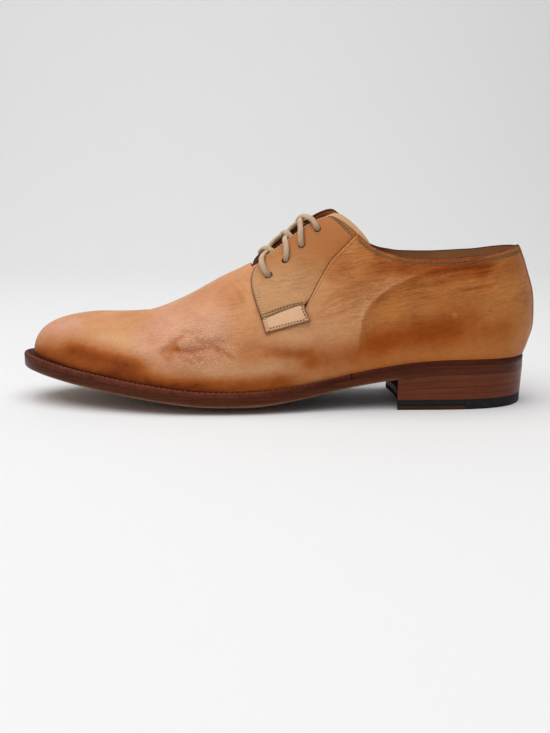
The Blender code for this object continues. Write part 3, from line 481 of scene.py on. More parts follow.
def section_place(station, value, side, measure):
    """(turn, rise) of a point at that station on one side of the ridge.

    measure says how far down the section it lies: by its height, or by its girth from the ridge. The
    rise is read off the section, then the turn is bettered until the station agrees.
    """
    station, value, side = np.broadcast_arrays(np.asarray(station, float), np.asarray(value, float), side)
    rises = np.linspace(1, 0, 81)
    rows = np.linspace(0, TOE_ROW, 421)
    step = 0.05
    turn = np.interp(station, column_at("foot", rows), rows)
    for _ in range(14):
        place = np.where(side > 0, turn, LOOP - turn)
        line = last_point(place[..., None], rises)
        steps = np.linalg.norm(np.diff(line, axis=-2, prepend=line[..., :1, :]), axis=-1)
        run = {"girth": np.cumsum(steps, axis=-1), "height": line[..., :1, 2] - line[..., 2]}[measure]
        wanted = line[..., 0, 2] - value if measure == "height" else value
        pairs = zip(wanted.reshape(-1), run.reshape(-1, len(rises)))
        rise = np.array([np.interp(v, r, rises) for v, r in pairs]).reshape(turn.shape)
        here = last_point(place, rise)[..., 0]
        slope = (last_point(place + step * side, rise)[..., 0] - here) / step
        turn = np.clip(turn + np.clip((station - here) / np.maximum(slope, 4 * MM), -1, 1), 0, TOE_ROW)
    return np.where(side > 0, turn, LOOP - turn), rise


def side_of(value):
    """1 on the lateral side, -1 on the medial side."""
    return np.where(np.asarray(value) >= 0, 1, -1)


def smooth_line(points, places):
    """Points of a smooth open curve through the given ones, at places from 0 to 1 along its length."""
    points = np.asarray(points, float)
    ends = np.vstack([2 * points[0] - points[1], points, 2 * points[-1] - points[-2]])
    t = np.linspace(0, 1, 25)[:, None]
    fine = [points[:1]]
    for a, b, c, d in zip(ends[:-3], ends[1:-2], ends[2:-1], ends[3:]):
        curve = (2 * a - 5 * b + 4 * c - d) * t ** 2 + (3 * b - a - 3 * c + d) * t ** 3
        fine.append((b + 0.5 * ((c - a) * t + curve))[1:])
    fine = np.vstack(fine)
    run = np.concatenate([[0], np.cumsum(np.linalg.norm(np.diff(fine, axis=0), axis=1))])
    return np.stack([np.interp(np.asarray(places) * run[-1], run, column) for column in fine.T], 1)


def table_at(rows, columns, name, places, soft=0.0):
    """A short table's column, straight between its rows, then averaged over a window of half width soft."""
    table = np.array(rows)
    shifts = np.linspace(-soft, soft, 9) if soft else [0.0]
    column = table[:, columns.index(name)]
    return sum(np.interp(places + shift, table[:, 0], column) for shift in shifts) / len(shifts)


def plan_point(turn, margin):
    """Plan of the feather edge moved outward by the margin, square to the edge."""
    turn = np.asarray(turn, float)
    here = np.stack([column_at("foot", turn), column_at("side", turn)], -1)
    step = 0.02
    ahead = np.stack([column_at("foot", turn + step), column_at("side", turn + step)], -1)
    behind = np.stack([column_at("foot", turn - step), column_at("side", turn - step)], -1)
    along = ahead - behind
    outward = np.stack([-along[..., 1], along[..., 0]], -1)
    outward /= np.linalg.norm(outward, axis=-1, keepdims=True)
    return here + np.asarray(margin, float)[..., None] * outward


def rungs(rows, margin, across):
    """Plan grid of cross lines from the medial edge (-1) to the lateral edge (1), one a section."""
    outer = plan_point(rows, margin)
    inner = plan_point(LOOP - rows, margin)
    share = (across + 1)[None, :, None] / 2
    return inner[:, None, :] * (1 - share) + outer[:, None, :] * share


def with_height(plan, height):
    """Points over a plan at a height."""
    return np.concatenate([plan, np.broadcast_to(height, plan.shape[:-1])[..., None]], -1)


def outsole_top(rows):
    """Height of the outsole's upper face along its edge: the welt's thickness below the feather edge."""
    return column_at("feather", rows) - WELT_THICK - 2 * GAP


def outsole_foot(rows):
    """Height of the outsole's under face along its edge, as the solids have it."""
    return column_at("feather", rows) - WELT_THICK - 2 * SOLID_GAP - column_at("sole", rows)


def grid_faces(rows, columns, wrap, copies):
    """Quads of like grids whose points are numbered row by row; wrap joins each row's end to its start."""
    i = np.arange(rows - 1)[:, None]
    j = np.arange(columns if wrap else columns - 1)[None, :]
    n = (j + 1) % columns
    quads = np.stack(np.broadcast_arrays(i * columns + j, i * columns + n, (i + 1) * columns + n,
                                         (i + 1) * columns + j), -1).reshape(-1, 4)
    return (np.arange(copies)[:, None, None] * rows * columns + quads).reshape(-1, 4)


def make_piece(name, grids, materials, replaces=(), slot=None, sharp=38):
    """One mesh from some grids of points, welded where they meet, with its faces turned outward.

    Each grid is a dict: points (rows x columns x 3 in the last's frame, or several such grids), and where
    they apply wrap (columns close on themselves), slot (index of its material), keep (which quads are
    made), uv and masks (values a point, by name).
    """
    names = sorted({key for grid in grids for key in grid.get("masks", {})})
    points, quads, slots, uvs, masks, first = [], [], [], [], [], 0
    for grid in grids:
        shape = grid["points"].shape[:-1]
        copies = int(np.prod(shape[:-2], dtype=int))
        faces = grid_faces(shape[-2], shape[-1], grid.get("wrap", False), copies)
        faces = faces[np.broadcast_to(grid.get("keep", True), len(faces))]
        points.append(grid["points"].reshape(-1, 3))
        quads.append(faces + first)
        slots.append(np.full(len(faces), grid.get("slot", 0)))
        uvs.append(np.broadcast_to(grid.get("uv", np.zeros(2)), (*shape, 2)).reshape(-1, 2))
        given = grid.get("masks", {})
        masks.append(np.stack([np.broadcast_to(given.get(key, 0.0), shape).reshape(-1) for key in names], 1)
                     if names else np.zeros((len(points[-1]), 0)))
        first += len(points[-1])
    points, quads, slots = np.vstack(points) - MIDDLE, np.vstack(quads), np.concatenate(slots)
    uvs, masks = np.vstack(uvs), np.vstack(masks)

    # Points nearer than a thousandth of a millimetre are one; a quad that loses a side is a triangle
    cells = np.round(points / (0.001 * MM)).astype(np.int64)
    _, where, same = np.unique(cells, axis=0, return_index=True, return_inverse=True)
    corners = same.reshape(-1)[quads]
    pair = corners == np.roll(corners, -1, axis=1)
    whole = ~pair.any(axis=1) & (corners[:, 0] != corners[:, 2]) & (corners[:, 1] != corners[:, 3])
    flat = pair.sum(axis=1) == 1
    order = (np.argmax(pair, axis=1)[flat, None] + np.array([1, 2, 3])) % 4
    thirds = np.take_along_axis(corners[flat], order, 1)
    real = (thirds[:, 0] != thirds[:, 1]) & (thirds[:, 1] != thirds[:, 2]) & (thirds[:, 0] != thirds[:, 2])
    source = np.concatenate([quads[whole].reshape(-1),
                             np.take_along_axis(quads[flat], order, 1)[real].reshape(-1)])
    loops = np.concatenate([corners[whole].reshape(-1), thirds[real].reshape(-1)])
    sizes = np.concatenate([np.full(whole.sum(), 4), np.full(real.sum(), 3)])

    mesh = bpy.data.meshes.new(name)
    mesh.vertices.add(len(where))
    mesh.vertices.foreach_set("co", points[where].astype(np.float32).reshape(-1))
    mesh.loops.add(len(loops))
    mesh.loops.foreach_set("vertex_index", loops.astype(np.int32))
    mesh.polygons.add(len(sizes))
    mesh.polygons.foreach_set("loop_start", (np.cumsum(sizes) - sizes).astype(np.int32))
    chosen = np.concatenate([slots[whole], slots[flat][real]])
    mesh.polygons.foreach_set("material_index", chosen.astype(np.int32))
    mesh.update(calc_edges=True)
    layer = mesh.uv_layers.new(name="run")
    layer.data.foreach_set("uv", uvs[source].astype(np.float32).reshape(-1))
    for key, values in zip(names, masks.T):
        mesh.attributes.new(key, "FLOAT", "POINT").data.foreach_set("value", values[where].astype(np.float32))
    bm = bmesh.new()
    bm.from_mesh(mesh)
    bmesh.ops.recalc_face_normals(bm, faces=bm.faces[:])
    bm.to_mesh(mesh)
    bm.free()
    mesh.shade_smooth()
    mesh.set_sharp_from_angle(angle=math.radians(sharp))
    for material in materials:
        mesh.materials.append(material)
    piece = bpy.data.objects.new(name, mesh)
    bpy.context.scene.collection.objects.link(piece)
    return wear(piece, replaces, slot)


def wear(piece, replaces, slot):
    """The piece goes with the shoe and stands for its solids, which are hidden; slot is not used."""
    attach(piece, "root")
    if replaces:
        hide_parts(*replaces)
    return piece


def edge_of(grid):
    """The outer points of a grid in order once round."""
    return np.concatenate([grid[0, :-1], grid[:-1, -1], grid[-1, :0:-1], grid[:0:-1, 0]])


def linear(code):
    """Linear colour of an sRGB hex value."""
    channels = [int(code[i:i + 2], 16) / 255 for i in (1, 3, 5)]
    return tuple(c / 12.92 if c <= 0.04045 else ((c + 0.055) / 1.055) ** 2.4 for c in channels)


def colour_prop(name, description, code):
    """A colour, its default given as an sRGB hex value."""
    return bpy.props.FloatVectorProperty(name=name, description=description, subtype="COLOR", size=3,
                                         min=0.0, max=1.0, default=linear(code))


def length_prop(name, description, millimetres):
    """A length, its default given in millimetres."""
    return bpy.props.FloatProperty(name=name, description=description, unit="LENGTH", min=0.0,
                                   default=millimetres * MM)


class DerbySizes(bpy.types.PropertyGroup):
    """Sizes that a maker would change."""

    upper_wall: length_prop("Upper wall", "Thickness of the calf with its lining", 1.8)
    seam_rise: length_prop("Heel seam", "Height of the closed seam down the back", 1.2)
    lace_width: length_prop("Lace width", "Width of the waxed lace", 3.5)
    stitch_length: length_prop("Stitch length", "Length of a stitch of the upper", 1.25)
    stitch_pitch: length_prop("Stitch pitch", "Distance from one stitch of the upper to the next", 1.8)
    welt_pitch: length_prop("Welt stitch pitch", "Distance from one welt stitch to the next", 3.2)
    lift: length_prop("Heel lift", "Thickness of one lift of the heel", 3.7)
    wear: bpy.props.FloatProperty(name="Wear", description="How deep the creases of use are",
                                  subtype="FACTOR", min=0.0, max=1.5, default=1.0)


class DerbyColours(bpy.types.PropertyGroup):
    """Colours of the leathers, threads and rubber."""

    tan: colour_prop("Tan", "Calf of the vamp and toe", "#d79b6c")
    orange: colour_prop("Orange", "Calf of the quarters", "#c98244")
    # The polish colours also tint the painted shade in creases, troughs, the counter's fold, along the welt
    # and on the facings.
    thin_polish_and_shade: colour_prop("Thin polish", "Light that comes back through a thin coat of polish", "#d0a062")
    deep_polish_and_shade: colour_prop("Deep polish", "Light that comes back through many coats of polish", "#8c4418")
    # Pink is faded calf, and also paints the sheen over the vamp's top and a highlight on the toe.
    pink: colour_prop("Pink", "Faded calf over the ball", "#e3ae96")
    # Pale is rubbed high spots, and also paints highlights on the toe and the counter's fold and light low on
    # the ball's side.
    pale: colour_prop("Pale", "Rubbed high spots", "#e6bc94")
    facing: colour_prop("Facing", "Calf of the facings", "#d2a374")
    tab: colour_prop("Tab", "Rubbed calf of the tab", "#e8bb94")
    tongue: colour_prop("Tongue", "Calf of the tongue", "#c99a6c")
    lining: colour_prop("Lining", "Leather of the lining", "#bd8758")
    # The edge colour also paints shade: on the welt's inner ledge, under the arch and on the heel's breast.
    edge: colour_prop("Edge", "Painted cut edges", "#43180f")
    seam: colour_prop("Seam", "Polish and dirt held in seams", "#6b3118")
    lace: colour_prop("Lace", "Waxed cotton of the lace", "#eacaa6")
    thread: colour_prop("Thread", "Sewing thread of the facings", "#e2cda4")
    collar_thread: colour_prop("Collar thread", "Sewing thread of collar and tab", "#74623f")
    welt: colour_prop("Welt", "Leather of the welt", "#7e4231")
    sole: colour_prop("Sole", "Waxed edge of the outsole", "#5a2718")
    tread: colour_prop("Tread", "Worn leather under the sole", "#8a6244")
    heel: colour_prop("Heel", "Waxed leather of the heel", "#713724")
    insert: colour_prop("Insert", "Inked leather let into the top piece", "#4a2a1e")
    rubber: colour_prop("Rubber", "Rubber of the top piece", "#141415")
    floor: colour_prop("Floor", "Paper of the sweep", "#ededed")


def sizes():
    """The shoe's sizes as they are set."""
    return bpy.context.scene.derby_sizes


def colour(name):
    """One of the shoe's colours by its name, or the colour of an sRGB hex value."""
    light = linear(name) if name.startswith("#") else getattr(bpy.context.scene.derby_colours, name)
    return (*light, 1.0)


def plug(tree, node, inputs):
    """Sets a node's inputs by socket: to a value, another node's output or the piece's mask of that name."""
    for socket, value in inputs.items():
        if isinstance(value, str):
            value = add_node(tree, "Attribute", {}, "Fac", attribute_name=value)
        if isinstance(value, bpy.types.NodeSocket):
            tree.links.new(value, node.inputs[socket])
        else:
            node.inputs[socket].default_value = value


def add_node(tree, kind, inputs, output=0, **settings):
    """Adds a node with its settings and inputs, and gives back one of its outputs."""
    node = tree.nodes.new("ShaderNode" + kind)
    for key, value in settings.items():
        setattr(node, key, value)
    plug(tree, node, inputs)
    return node.outputs[output]


def new_material(name, *clouds):
    """An empty material with cloudy patterns: (material, its tree, the place on the piece, the patterns).

    Each pattern is asked for by the size of its blotches in mm, its detail, its roughness and its warp.
    """
    made = bpy.data.materials.new(name)
    made.use_nodes = True
    tree = made.node_tree
    place = add_node(tree, "TexCoord", {}, "Object")
    patterns = [add_node(tree, "TexNoise", {"Vector": place, "Scale": 1 / (size * MM), "Detail": detail,
                                            "Roughness": rough, "Distortion": warp})
                for size, detail, rough, warp in clouds]
    return made, tree, place, patterns


def uneven(tree, share, pattern, low, high, least, most):
    """Share times a weight that goes from least to most while a pattern goes from low to high."""
    weight = add_node(tree, "MapRange", {0: pattern, 1: low, 2: high, 3: least, 4: most})
    return add_node(tree, "Math", {0: share, 1: weight}, operation="MULTIPLY")


def dyed(tree, tone, *layers):
    """Tone that gives way to other colours in turn. Each layer is (share or mask, colour)."""
    for share, name in layers:
        tone = add_node(tree, "Mix", {0: share, 6: tone, 7: colour(name)}, 2, data_type="RGBA")
    return tone


def stained(tree, tone, *layers):
    """Tone that loses light in patches. Each layer is (pattern or mask, low, high, most, light left).

    The stain's share goes from none to most while the pattern goes from low to high.
    """
    for pattern, low, high, most, light in layers:
        share = add_node(tree, "MapRange", {0: pattern, 1: low, 2: high, 4: most})
        tone = add_node(tree, "Mix", {0: share, 6: tone, 7: colour(light)}, 2, data_type="RGBA",
                        blend_type="MULTIPLY")
    return tone


def darkened_by_polish_and_shade(tree, tone, *shares):
    """Tone darkened by each share, which stands for rubbed-in polish, for painted shade, or for both
    together: the more of it, the less light comes back, blue and green least.
    """
    for share in shares:
        light = add_node(tree, "ValToRGB", {"Fac": share})
        stops = light.node.color_ramp.elements
        stops.new(0.5)
        for stop, name in zip(stops, ("#ffffff", "thin_polish_and_shade", "deep_polish_and_shade")):
            stop.color = colour(name)
        tone = add_node(tree, "Mix", {0: 1.0, 6: tone, 7: light}, 2, data_type="RGBA", blend_type="MULTIPLY")
    return tone


def finished(made, tone, rough, gloss, grain=(), waxed=False):
    """Gives a material's shader its tone, roughness, gloss and grain, and hands the material back.

    rough is one number, or (pattern, where it is weak, where it is strong). grain is pairs of a pattern and
    its height in mm, each laid over the one before. The reflection of a waxed surface is warmed by the wax.
    """
    tree = made.node_tree
    inputs = {"Base Color": tone, "Roughness": rough, "Specular IOR Level": gloss}
    if isinstance(rough, tuple):
        pattern, weak, strong = rough
        inputs["Roughness"] = add_node(tree, "MapRange", {0: pattern, 1: 0.2, 2: 0.8, 3: weak, 4: strong})
    below = {}
    for pattern, millimetres in grain:
        bump = {"Height": pattern, "Distance": millimetres * MM, "Strength": 1.0, **below}
        below = {"Normal": add_node(tree, "Bump", bump)}
    if waxed:
        inputs["Specular Tint"] = colour(WAX_TINT)
    plug(tree, tree.nodes["Principled BSDF"], {**inputs, **below})
    return made


def worn_calf(tree, place, patch, skin):
    """Wrinkles and grain of worn calf: (net of flex wrinkles, pull wrinkles, where these show, grain).

    The net is the edges of cells about 2 mm long, bent by a slow noise, and is 0 on a line. Pull wrinkles
    are about 10 mm long and 1.5 mm apart, rise towards the heel and are stronger in some patches. The grain
    lays fine pores, an uneven skin and both kinds of wrinkle over each other.
    """
    bend = add_node(tree, "TexNoise", {"Vector": place, "Scale": 1 / (4 * MM), "Detail": 2.0}, 1)
    bent = add_node(tree, "VectorMath", {0: bend, 1: (3 * MM,) * 3, 2: place}, operation="MULTIPLY_ADD")
    cells = add_node(tree, "Mapping", {"Vector": bent, "Scale": (2.6 * MM, 2.6 * MM, 1.3 * MM)},
                     vector_type="TEXTURE")
    net = add_node(tree, "TexVoronoi", {"Vector": cells, "Scale": 1.0}, feature="DISTANCE_TO_EDGE")
    drawn = add_node(tree, "Mapping", {"Vector": place, "Scale": (10 * MM, 10 * MM, 1.5 * MM),
                                       "Rotation": (0.0, 0.2, 0.0)}, vector_type="TEXTURE")
    pull = add_node(tree, "TexNoise", {"Vector": drawn, "Scale": 1.0, "Detail": 4.0, "Roughness": 0.66,
                                       "Distortion": 0.7})
    wrinkle = uneven(tree, "wrinkle", patch, 0.35, 0.65, 0.4, 1.0)
    pores = add_node(tree, "TexVoronoi", {"Vector": place, "Scale": 1 / (0.9 * MM), "Randomness": 1.0},
                     feature="SMOOTH_F1")
    folds = add_node(tree, "Math", {0: pull, 1: wrinkle}, operation="MULTIPLY")
    flexed = uneven(tree, "flex", net, 0.0, 0.35, 0.0, 1.0)
    return net, pull, wrinkle, ((pores, 0.06), (skin, 0.10), (folds, 2.3), (flexed, 0.36))


def upper_calf():
    """Burnished calf: drum-dyed, aniline finished and waxed by hand.

    Gives the eye a warm tan that darkens where polish was rubbed in and where shade is painted into creases,
    troughs and folds, paler where highlights are painted on, fine grain, and a soft sheen.
    """
    made, tree, place, (cloud, blotch, speck, *skin) = new_material(
        "burnished_calf", (26.0, 4.0, 0.55, 0.4), (7.0, 4.0, 0.6, 0.6), (1.6, 3.0, 0.65, 0.0), *SKIN_CLOUDS)
    net, pull, wrinkle, grain = worn_calf(tree, place, *skin)
    tone = dyed(tree, colour("tan"), ("orange", "orange"),
                (uneven(tree, "pink", cloud, 0.3, 0.7, 0.55, 1.0), "pink"),
                (uneven(tree, "pale", blotch, 0.3, 0.7, 0.6, 1.0), "pale"))
    # Darkened by burnish (polish, painted shade in places), and by painted shade along the flex net and the
    # pull wrinkles.
    tone = darkened_by_polish_and_shade(tree, tone, uneven(tree, "burnish", blotch, 0.3, 0.7, 0.90, 1.08),
                    uneven(tree, "flex", net, 0.0, 0.2, 0.21, 0.0),
                    uneven(tree, wrinkle, pull, 0.50, 0.66, 0.0, 0.28))
    tone = dyed(tree, tone, ("seam", "seam"))
    tone = stained(tree, tone, (cloud, 0.35, 0.7, 0.36, "#d4bca6"), (blotch, 0.45, 0.75, 0.22, "#dac4b3"),
                   (speck, 0.42, 0.72, 0.30, "#ddcbbc"))
    return finished(made, tone, (blotch, 0.38, 0.52), 0.2, grain, waxed=True)


def plain_leather(name, tone_name, rough, worn=0.25, second=None, share=None, gloss=0.35):
    """Leather in one colour with cloudy wear and fine pores; a second colour comes in by the share mask."""
    made, tree, _, (cloud, pores, pebble) = new_material(
        name, (9.0, 4.0, 0.6, 0.4), (0.8, 3.0, 0.6, 0.0), (3.0, 3.0, 0.5, 0.0))
    tone = stained(tree, colour(tone_name), (cloud, 0.35, 0.75, worn, "#b3a295"))
    if second:
        tone = dyed(tree, tone, (share, second))
    return finished(made, tone, (cloud, rough - 0.06, rough + 0.08), gloss, ((pores, 0.05), (pebble, 0.06)))


def facing_calf():
    """Paler calf of the facings, cut from the same hide: matt, rubbed and finely wrinkled along the shoe."""
    made, tree, place, (cloud, blotch, *skin) = new_material(
        "rubbed_facing_calf", (18.0, 4.0, 0.55, 0.4), (5.0, 4.0, 0.6, 0.5), *SKIN_CLOUDS)
    tone = dyed(tree, colour("facing"), ("orange", "orange"))
    tone = darkened_by_polish_and_shade(tree, tone, "burnish")
    tone = dyed(tree, tone, ("tab", "tab"), ("seam", "seam"))
    tone = stained(tree, tone, (cloud, 0.35, 0.7, 0.28, "#d4c2b3"), (blotch, 0.45, 0.75, 0.2, "#ddcbbc"))
    *_, grain = worn_calf(tree, place, *skin)
    return finished(made, tone, (blotch, 0.44, 0.58), 0.25, grain, waxed=True)


def edge_paint():
    """Cut edge of calf, stained dark and burnished: a thin maroon line with a faint gloss."""
    made, tree, _, (fibre,) = new_material("painted_cut_edge", (1.2, 3.0, 0.6, 0.0))
    share = add_node(tree, "MapRange", {0: fibre, 1: 0.4, 2: 0.8, 4: 0.5})
    tone = dyed(tree, colour("edge"), (share, "sole"))
    return finished(made, tone, 0.5, 0.25, ((fibre, 0.08),), waxed=True)


def waxed_cotton():
    """Braided and waxed cotton: slanting strands crossing each other, matt, greyed by handling in patches,
    with painted shade in the braid's grooves and towards each strand's ends.

    The braid's strands are about a millimetre apart, which is as fine as the picture shows.
    """
    made, tree, _, (fuzz, dirt) = new_material(
        "waxed_cotton_braid", (0.5, 3.0, 0.6, 0.0), (6.0, 3.0, 0.6, 0.0))
    run = add_node(tree, "UVMap", {}, uv_map="run")
    waves = {}
    for socket, turn in enumerate((0.7, -0.7)):
        slant = add_node(tree, "Mapping", {"Vector": run, "Rotation": (0.0, 0.0, turn)})
        wave = {"Vector": slant, "Scale": 0.5, "Distortion": 0.4, "Detail": 1.0}
        waves[socket] = add_node(tree, "TexWave", wave, 1, wave_profile="SIN")
    braid = add_node(tree, "Math", waves, operation="MAXIMUM")
    # Painted shade: darker in the braid's grooves and towards each strand's ends; the cloudy pattern is
    # handling grime.
    tone = stained(tree, colour("lace"), (braid, 1.0, 0.55, 0.35, "#b3a699"),
                   (dirt, 0.45, 0.75, 0.45, "#c4b8ad"), ("dirt", 0.0, 1.0, 1.0, "#b5a295"))
    plug(tree, tree.nodes["Principled BSDF"], {"Sheen Weight": 0.15})
    return finished(made, tone, 0.72, PLAIN_GLOSS, ((braid, 0.22), (fuzz, 0.05)))


def thread_material(name, tone_name):
    """Twisted polyester thread: tiny slanting plies with a low sheen."""
    made, tree, _, (ply,) = new_material(name, (0.35, 2.0, 0.5, 0.0))
    tone = stained(tree, colour(tone_name), (ply, 0.3, 0.7, 0.5, "#bcb3aa"))
    return finished(made, tone, 0.6, PLAIN_GLOSS)


def waxed_edge(name, tone_name, line_mm, worn_name=None, streak=1.0, rough=0.3, gloss=0.25):
    """Sole or heel edge, trimmed, inked and waxed: dark with level fibre lines, a low gloss, worn corners."""
    made, tree, place, (cloud, pores) = new_material(name, (12.0, 4.0, 0.6, 0.4), (1.4, 3.0, 0.6, 0.0))
    drawn = add_node(tree, "Mapping", {"Vector": place, "Scale": (26 * MM, 26 * MM, line_mm * MM)},
                     vector_type="TEXTURE")
    lines = add_node(tree, "TexNoise", {"Vector": drawn, "Scale": 1.0, "Detail": 3.0, "Roughness": 0.6,
                                        "Distortion": 0.3})
    tone = stained(tree, colour(tone_name), (lines, 0.35, 0.7, streak, "#ad9e95"),
                   (cloud, 0.3, 0.75, 0.35, "#c4bcb8"))
    if worn_name:
        chafe = add_node(tree, "TexNoise", {"Vector": place, "Scale": 1 / (4 * MM), "Detail": 4.0,
                                            "Roughness": 0.7})
        tone = dyed(tree, tone, (uneven(tree, "worn", chafe, 0.25, 0.6, 0.3, 1.0), worn_name))
    grain = ((lines, 0.12), (pores, 0.04))
    return finished(made, tone, (cloud, rough, rough + 0.16), gloss, grain, waxed=True)


def heel_rubber_material():
    """Moulded rubber: near black, matt, scuffed grey in patches."""
    made, tree, _, (scuff, pores) = new_material("moulded_rubber", (3.0, 4.0, 0.7, 0.0), (0.9, 3.0, 0.6, 0.0))
    share = add_node(tree, "MapRange", {0: scuff, 1: 0.5, 2: 0.8, 4: 0.4})
    tone = dyed(tree, colour("rubber"), (share, "#3f3f3f"))
    return finished(made, tone, 0.62, 0.25, ((pores, 0.05),))


def paper():
    """Matt white paper of a studio sweep."""
    made = bpy.data.materials.new("sweep_paper")
    made.use_nodes = True
    return finished(made, colour("floor"), 0.9, 0.1)


def bell(distance, width):
    """1 on a line, and exp(-(d/w)^2) at a distance d from it."""
    return np.exp(-(distance / width) ** 2)


def beside_line(points, side, path, reach):
    """Which points lie near a line on the last, and for those the distance, the signed distance and the fade.

    The distance is signed by the side of the line, positive towards the heel for a line that climbs
    backward. The fade falls to nothing over a share of the line at each end.
    """
    line = smooth_line(path, np.linspace(0, 1, 70)) * MM
    turn, rise = section_place(line[:, 0], line[:, 1], side, "height")
    spots = last_point(turn, rise)
    along = np.gradient(spots, axis=0)
    beside = -side * np.cross(last_normal(turn, rise), along)
    beside /= np.linalg.norm(beside, axis=1, keepdims=True)
    near = ((points > spots.min(0) - reach) & (points < spots.max(0) + reach)).all(-1)
    away = points[near][:, None, :] - spots
    far = np.linalg.norm(away, axis=-1)
    nearest = far.argmin(axis=1)
    signed = (away[np.arange(len(nearest)), nearest] * beside[nearest]).sum(axis=1)
    share = nearest / (len(spots) - 1)
    return near, far.min(axis=1), signed, soft_step(share / LINE_FADE) * soft_step((1 - share) / LINE_FADE)


def crease_height(points):
    """Height of the creases at points of the last, and the depth of the troughs from 0 to 1.

    A plain crease falls off as a bell with the distance beside its line. A crest does so towards the heel
    only, and towards the toe sinks slowly as exp(-d/reach), which keeps its top crisp.
    """
    height = np.zeros(points.shape[:-1])
    trough = np.zeros(points.shape[:-1])
    for side, width, depth, before, path in CREASES:
        near, far, signed, fade = beside_line(points, side, path, (4 * width + 2 * before) * MM)
        shape = bell(far, width * MM) * fade
        if before:
            shape = np.where(signed < 0, np.exp(-far / (before * MM)) * fade, shape)
        height[near] += depth * MM * shape
        if depth < 0:
            darkest = -depth / DEEP_TROUGH * min(1.0, NARROW_TROUGH / width)
            trough[near] = np.maximum(trough[near], darkest * shape)
    return height, np.clip(trough, 0, 1)


def slow_waves(points):
    """Uneven surface of worn leather: the mean of a few sine waves of 20 to 50 mm, slanting three ways."""
    millimetres = points / MM
    waves = [np.sin(millimetres @ np.array(slant) + phase) for *slant, phase in SLOW_WAVES]
    return sum(waves) / len(waves)


def tone_masks(points):
    """Masks of the upper's tones, sums of soft bands along lines on the last, by name.

    A band falls off as a bell; where only one half of it is kept, it ends at its line.
    """
    masks = {name: np.zeros(points.shape[:-1]) for name in ("burnish", "pink", "pale")}
    for name, sides, half, width, strength, path in TONES:
        for side in (sides,) if sides else (1, -1):
            near, far, signed, fade = beside_line(points, side, path, 3 * width * MM)
            kept = soft_step(half * signed / MM + 0.5) if half else 1.0
            masks[name][near] += strength * fade * kept * bell(far, width * MM)
    return masks


def top_edge_height(station):
    """Height of the upper's top edge at a station, without end where the vamp is closed."""
    places = np.linspace(0, 1, 120)
    line = np.vstack([smooth_line(part, places) for part in (COLLAR_LINE, SEAM_LINE, UNDERLAP_LINE)])
    stations, heights = line[:, 0] * LAST_LENGTH / 100, line[:, 1] * INSTEP_HEIGHT / 100
    return np.interp(station, stations, heights, right=1.0)


def top_rise(turns):
    """Rise at which each section meets the upper's top edge, 1 where the ridge is closed."""
    rises = np.linspace(0, 1, 401)
    line = last_point(turns[:, None], rises)
    over = line[..., 2] - top_edge_height(line[..., 0])
    cut = np.clip(np.argmax(over >= 0, axis=1), 1, len(rises) - 1)
    here, before = (np.take_along_axis(over, (cut - k)[:, None], 1)[:, 0] for k in (0, 1))
    found = rises[cut] - (rises[1] - rises[0]) * here / (here - before)
    found = np.where((over < 0).all(axis=1), 1.0, found)
    return np.where(found > CLOSED_RISE, 1.0, found)


def upper_turns():
    """Places round the shoe of the upper's lines of points: closer at the back seam, and one at the peak."""
    half = np.unique(np.concatenate([np.linspace(0, 0.25, 14), np.linspace(0.25, TOE_ROW, 320), [PEAK_ROW]]))
    return np.concatenate([half, LOOP - half[-2:0:-1]])


def upper_shell(turns, ends, count):
    """Grid on the last from the feather edge to the top edge: (place round, rise, points, normals).

    Where the ridge is closed, the normal on it is square to the ridge's run, so that both sides agree.
    """
    closed = ends == 1.0
    rise = ends[:, None] * np.linspace(0, 1, count)
    place = np.broadcast_to(turns[:, None], rise.shape)
    normal = last_normal(place, rise)
    slope = ridge_slope(np.minimum(turns, LOOP - turns)[closed])
    ridge = np.stack([-slope, np.zeros(slope.shape), np.ones(slope.shape)], -1)
    normal[closed, -1] = ridge / np.linalg.norm(ridge, axis=1, keepdims=True)
    return place, rise, last_point(place, rise), normal


def upper_relief(surface, row, rise, above, edge, open_edge):
    """Height of the upper's outer face over the last, and the depth of its troughs from 0 to 1.

    Creases and slow waves fade out below the top edge and under the facings. To them come a flat ridge for
    the seam at the back, lower near the sole, and a roll beside the facing seam. The top edge is rounded
    off. above and edge are the distances over the feather edge and below the top edge, in mm.
    """
    height, trough = crease_height(surface)
    height = height * sizes().wear + WAVE_HEIGHT * slow_waves(surface) * soft_step(rise / 0.15)
    free = np.where(open_edge, soft_step((edge - 1) / 6), 1.0)
    under_facing = soft_step((row - 9.0) / 0.4) * soft_step((12.6 - row) / 0.4)
    height = height * free * (1 - under_facing * soft_step((rise - 0.42) / 0.06))
    height += sizes().seam_rise * soft_step((0.13 - row) / 0.08) * (0.3 + 0.7 * soft_step((above - 2) / 16))
    in_seam = soft_step((row - PEAK_ROW + 0.05) / 0.1) * soft_step((9.6 - row) / 0.3)
    height += np.where(open_edge, SEAM_ROLL * in_seam * bell(edge - 1.9, 1.1), 0.0)
    rounding = COLLAR_ROUNDING + (SEAM_ROUNDING - COLLAR_ROUNDING) * in_seam
    height -= np.where(open_edge, rounding * bell(edge, 0.7), 0.0)
    return height, trough


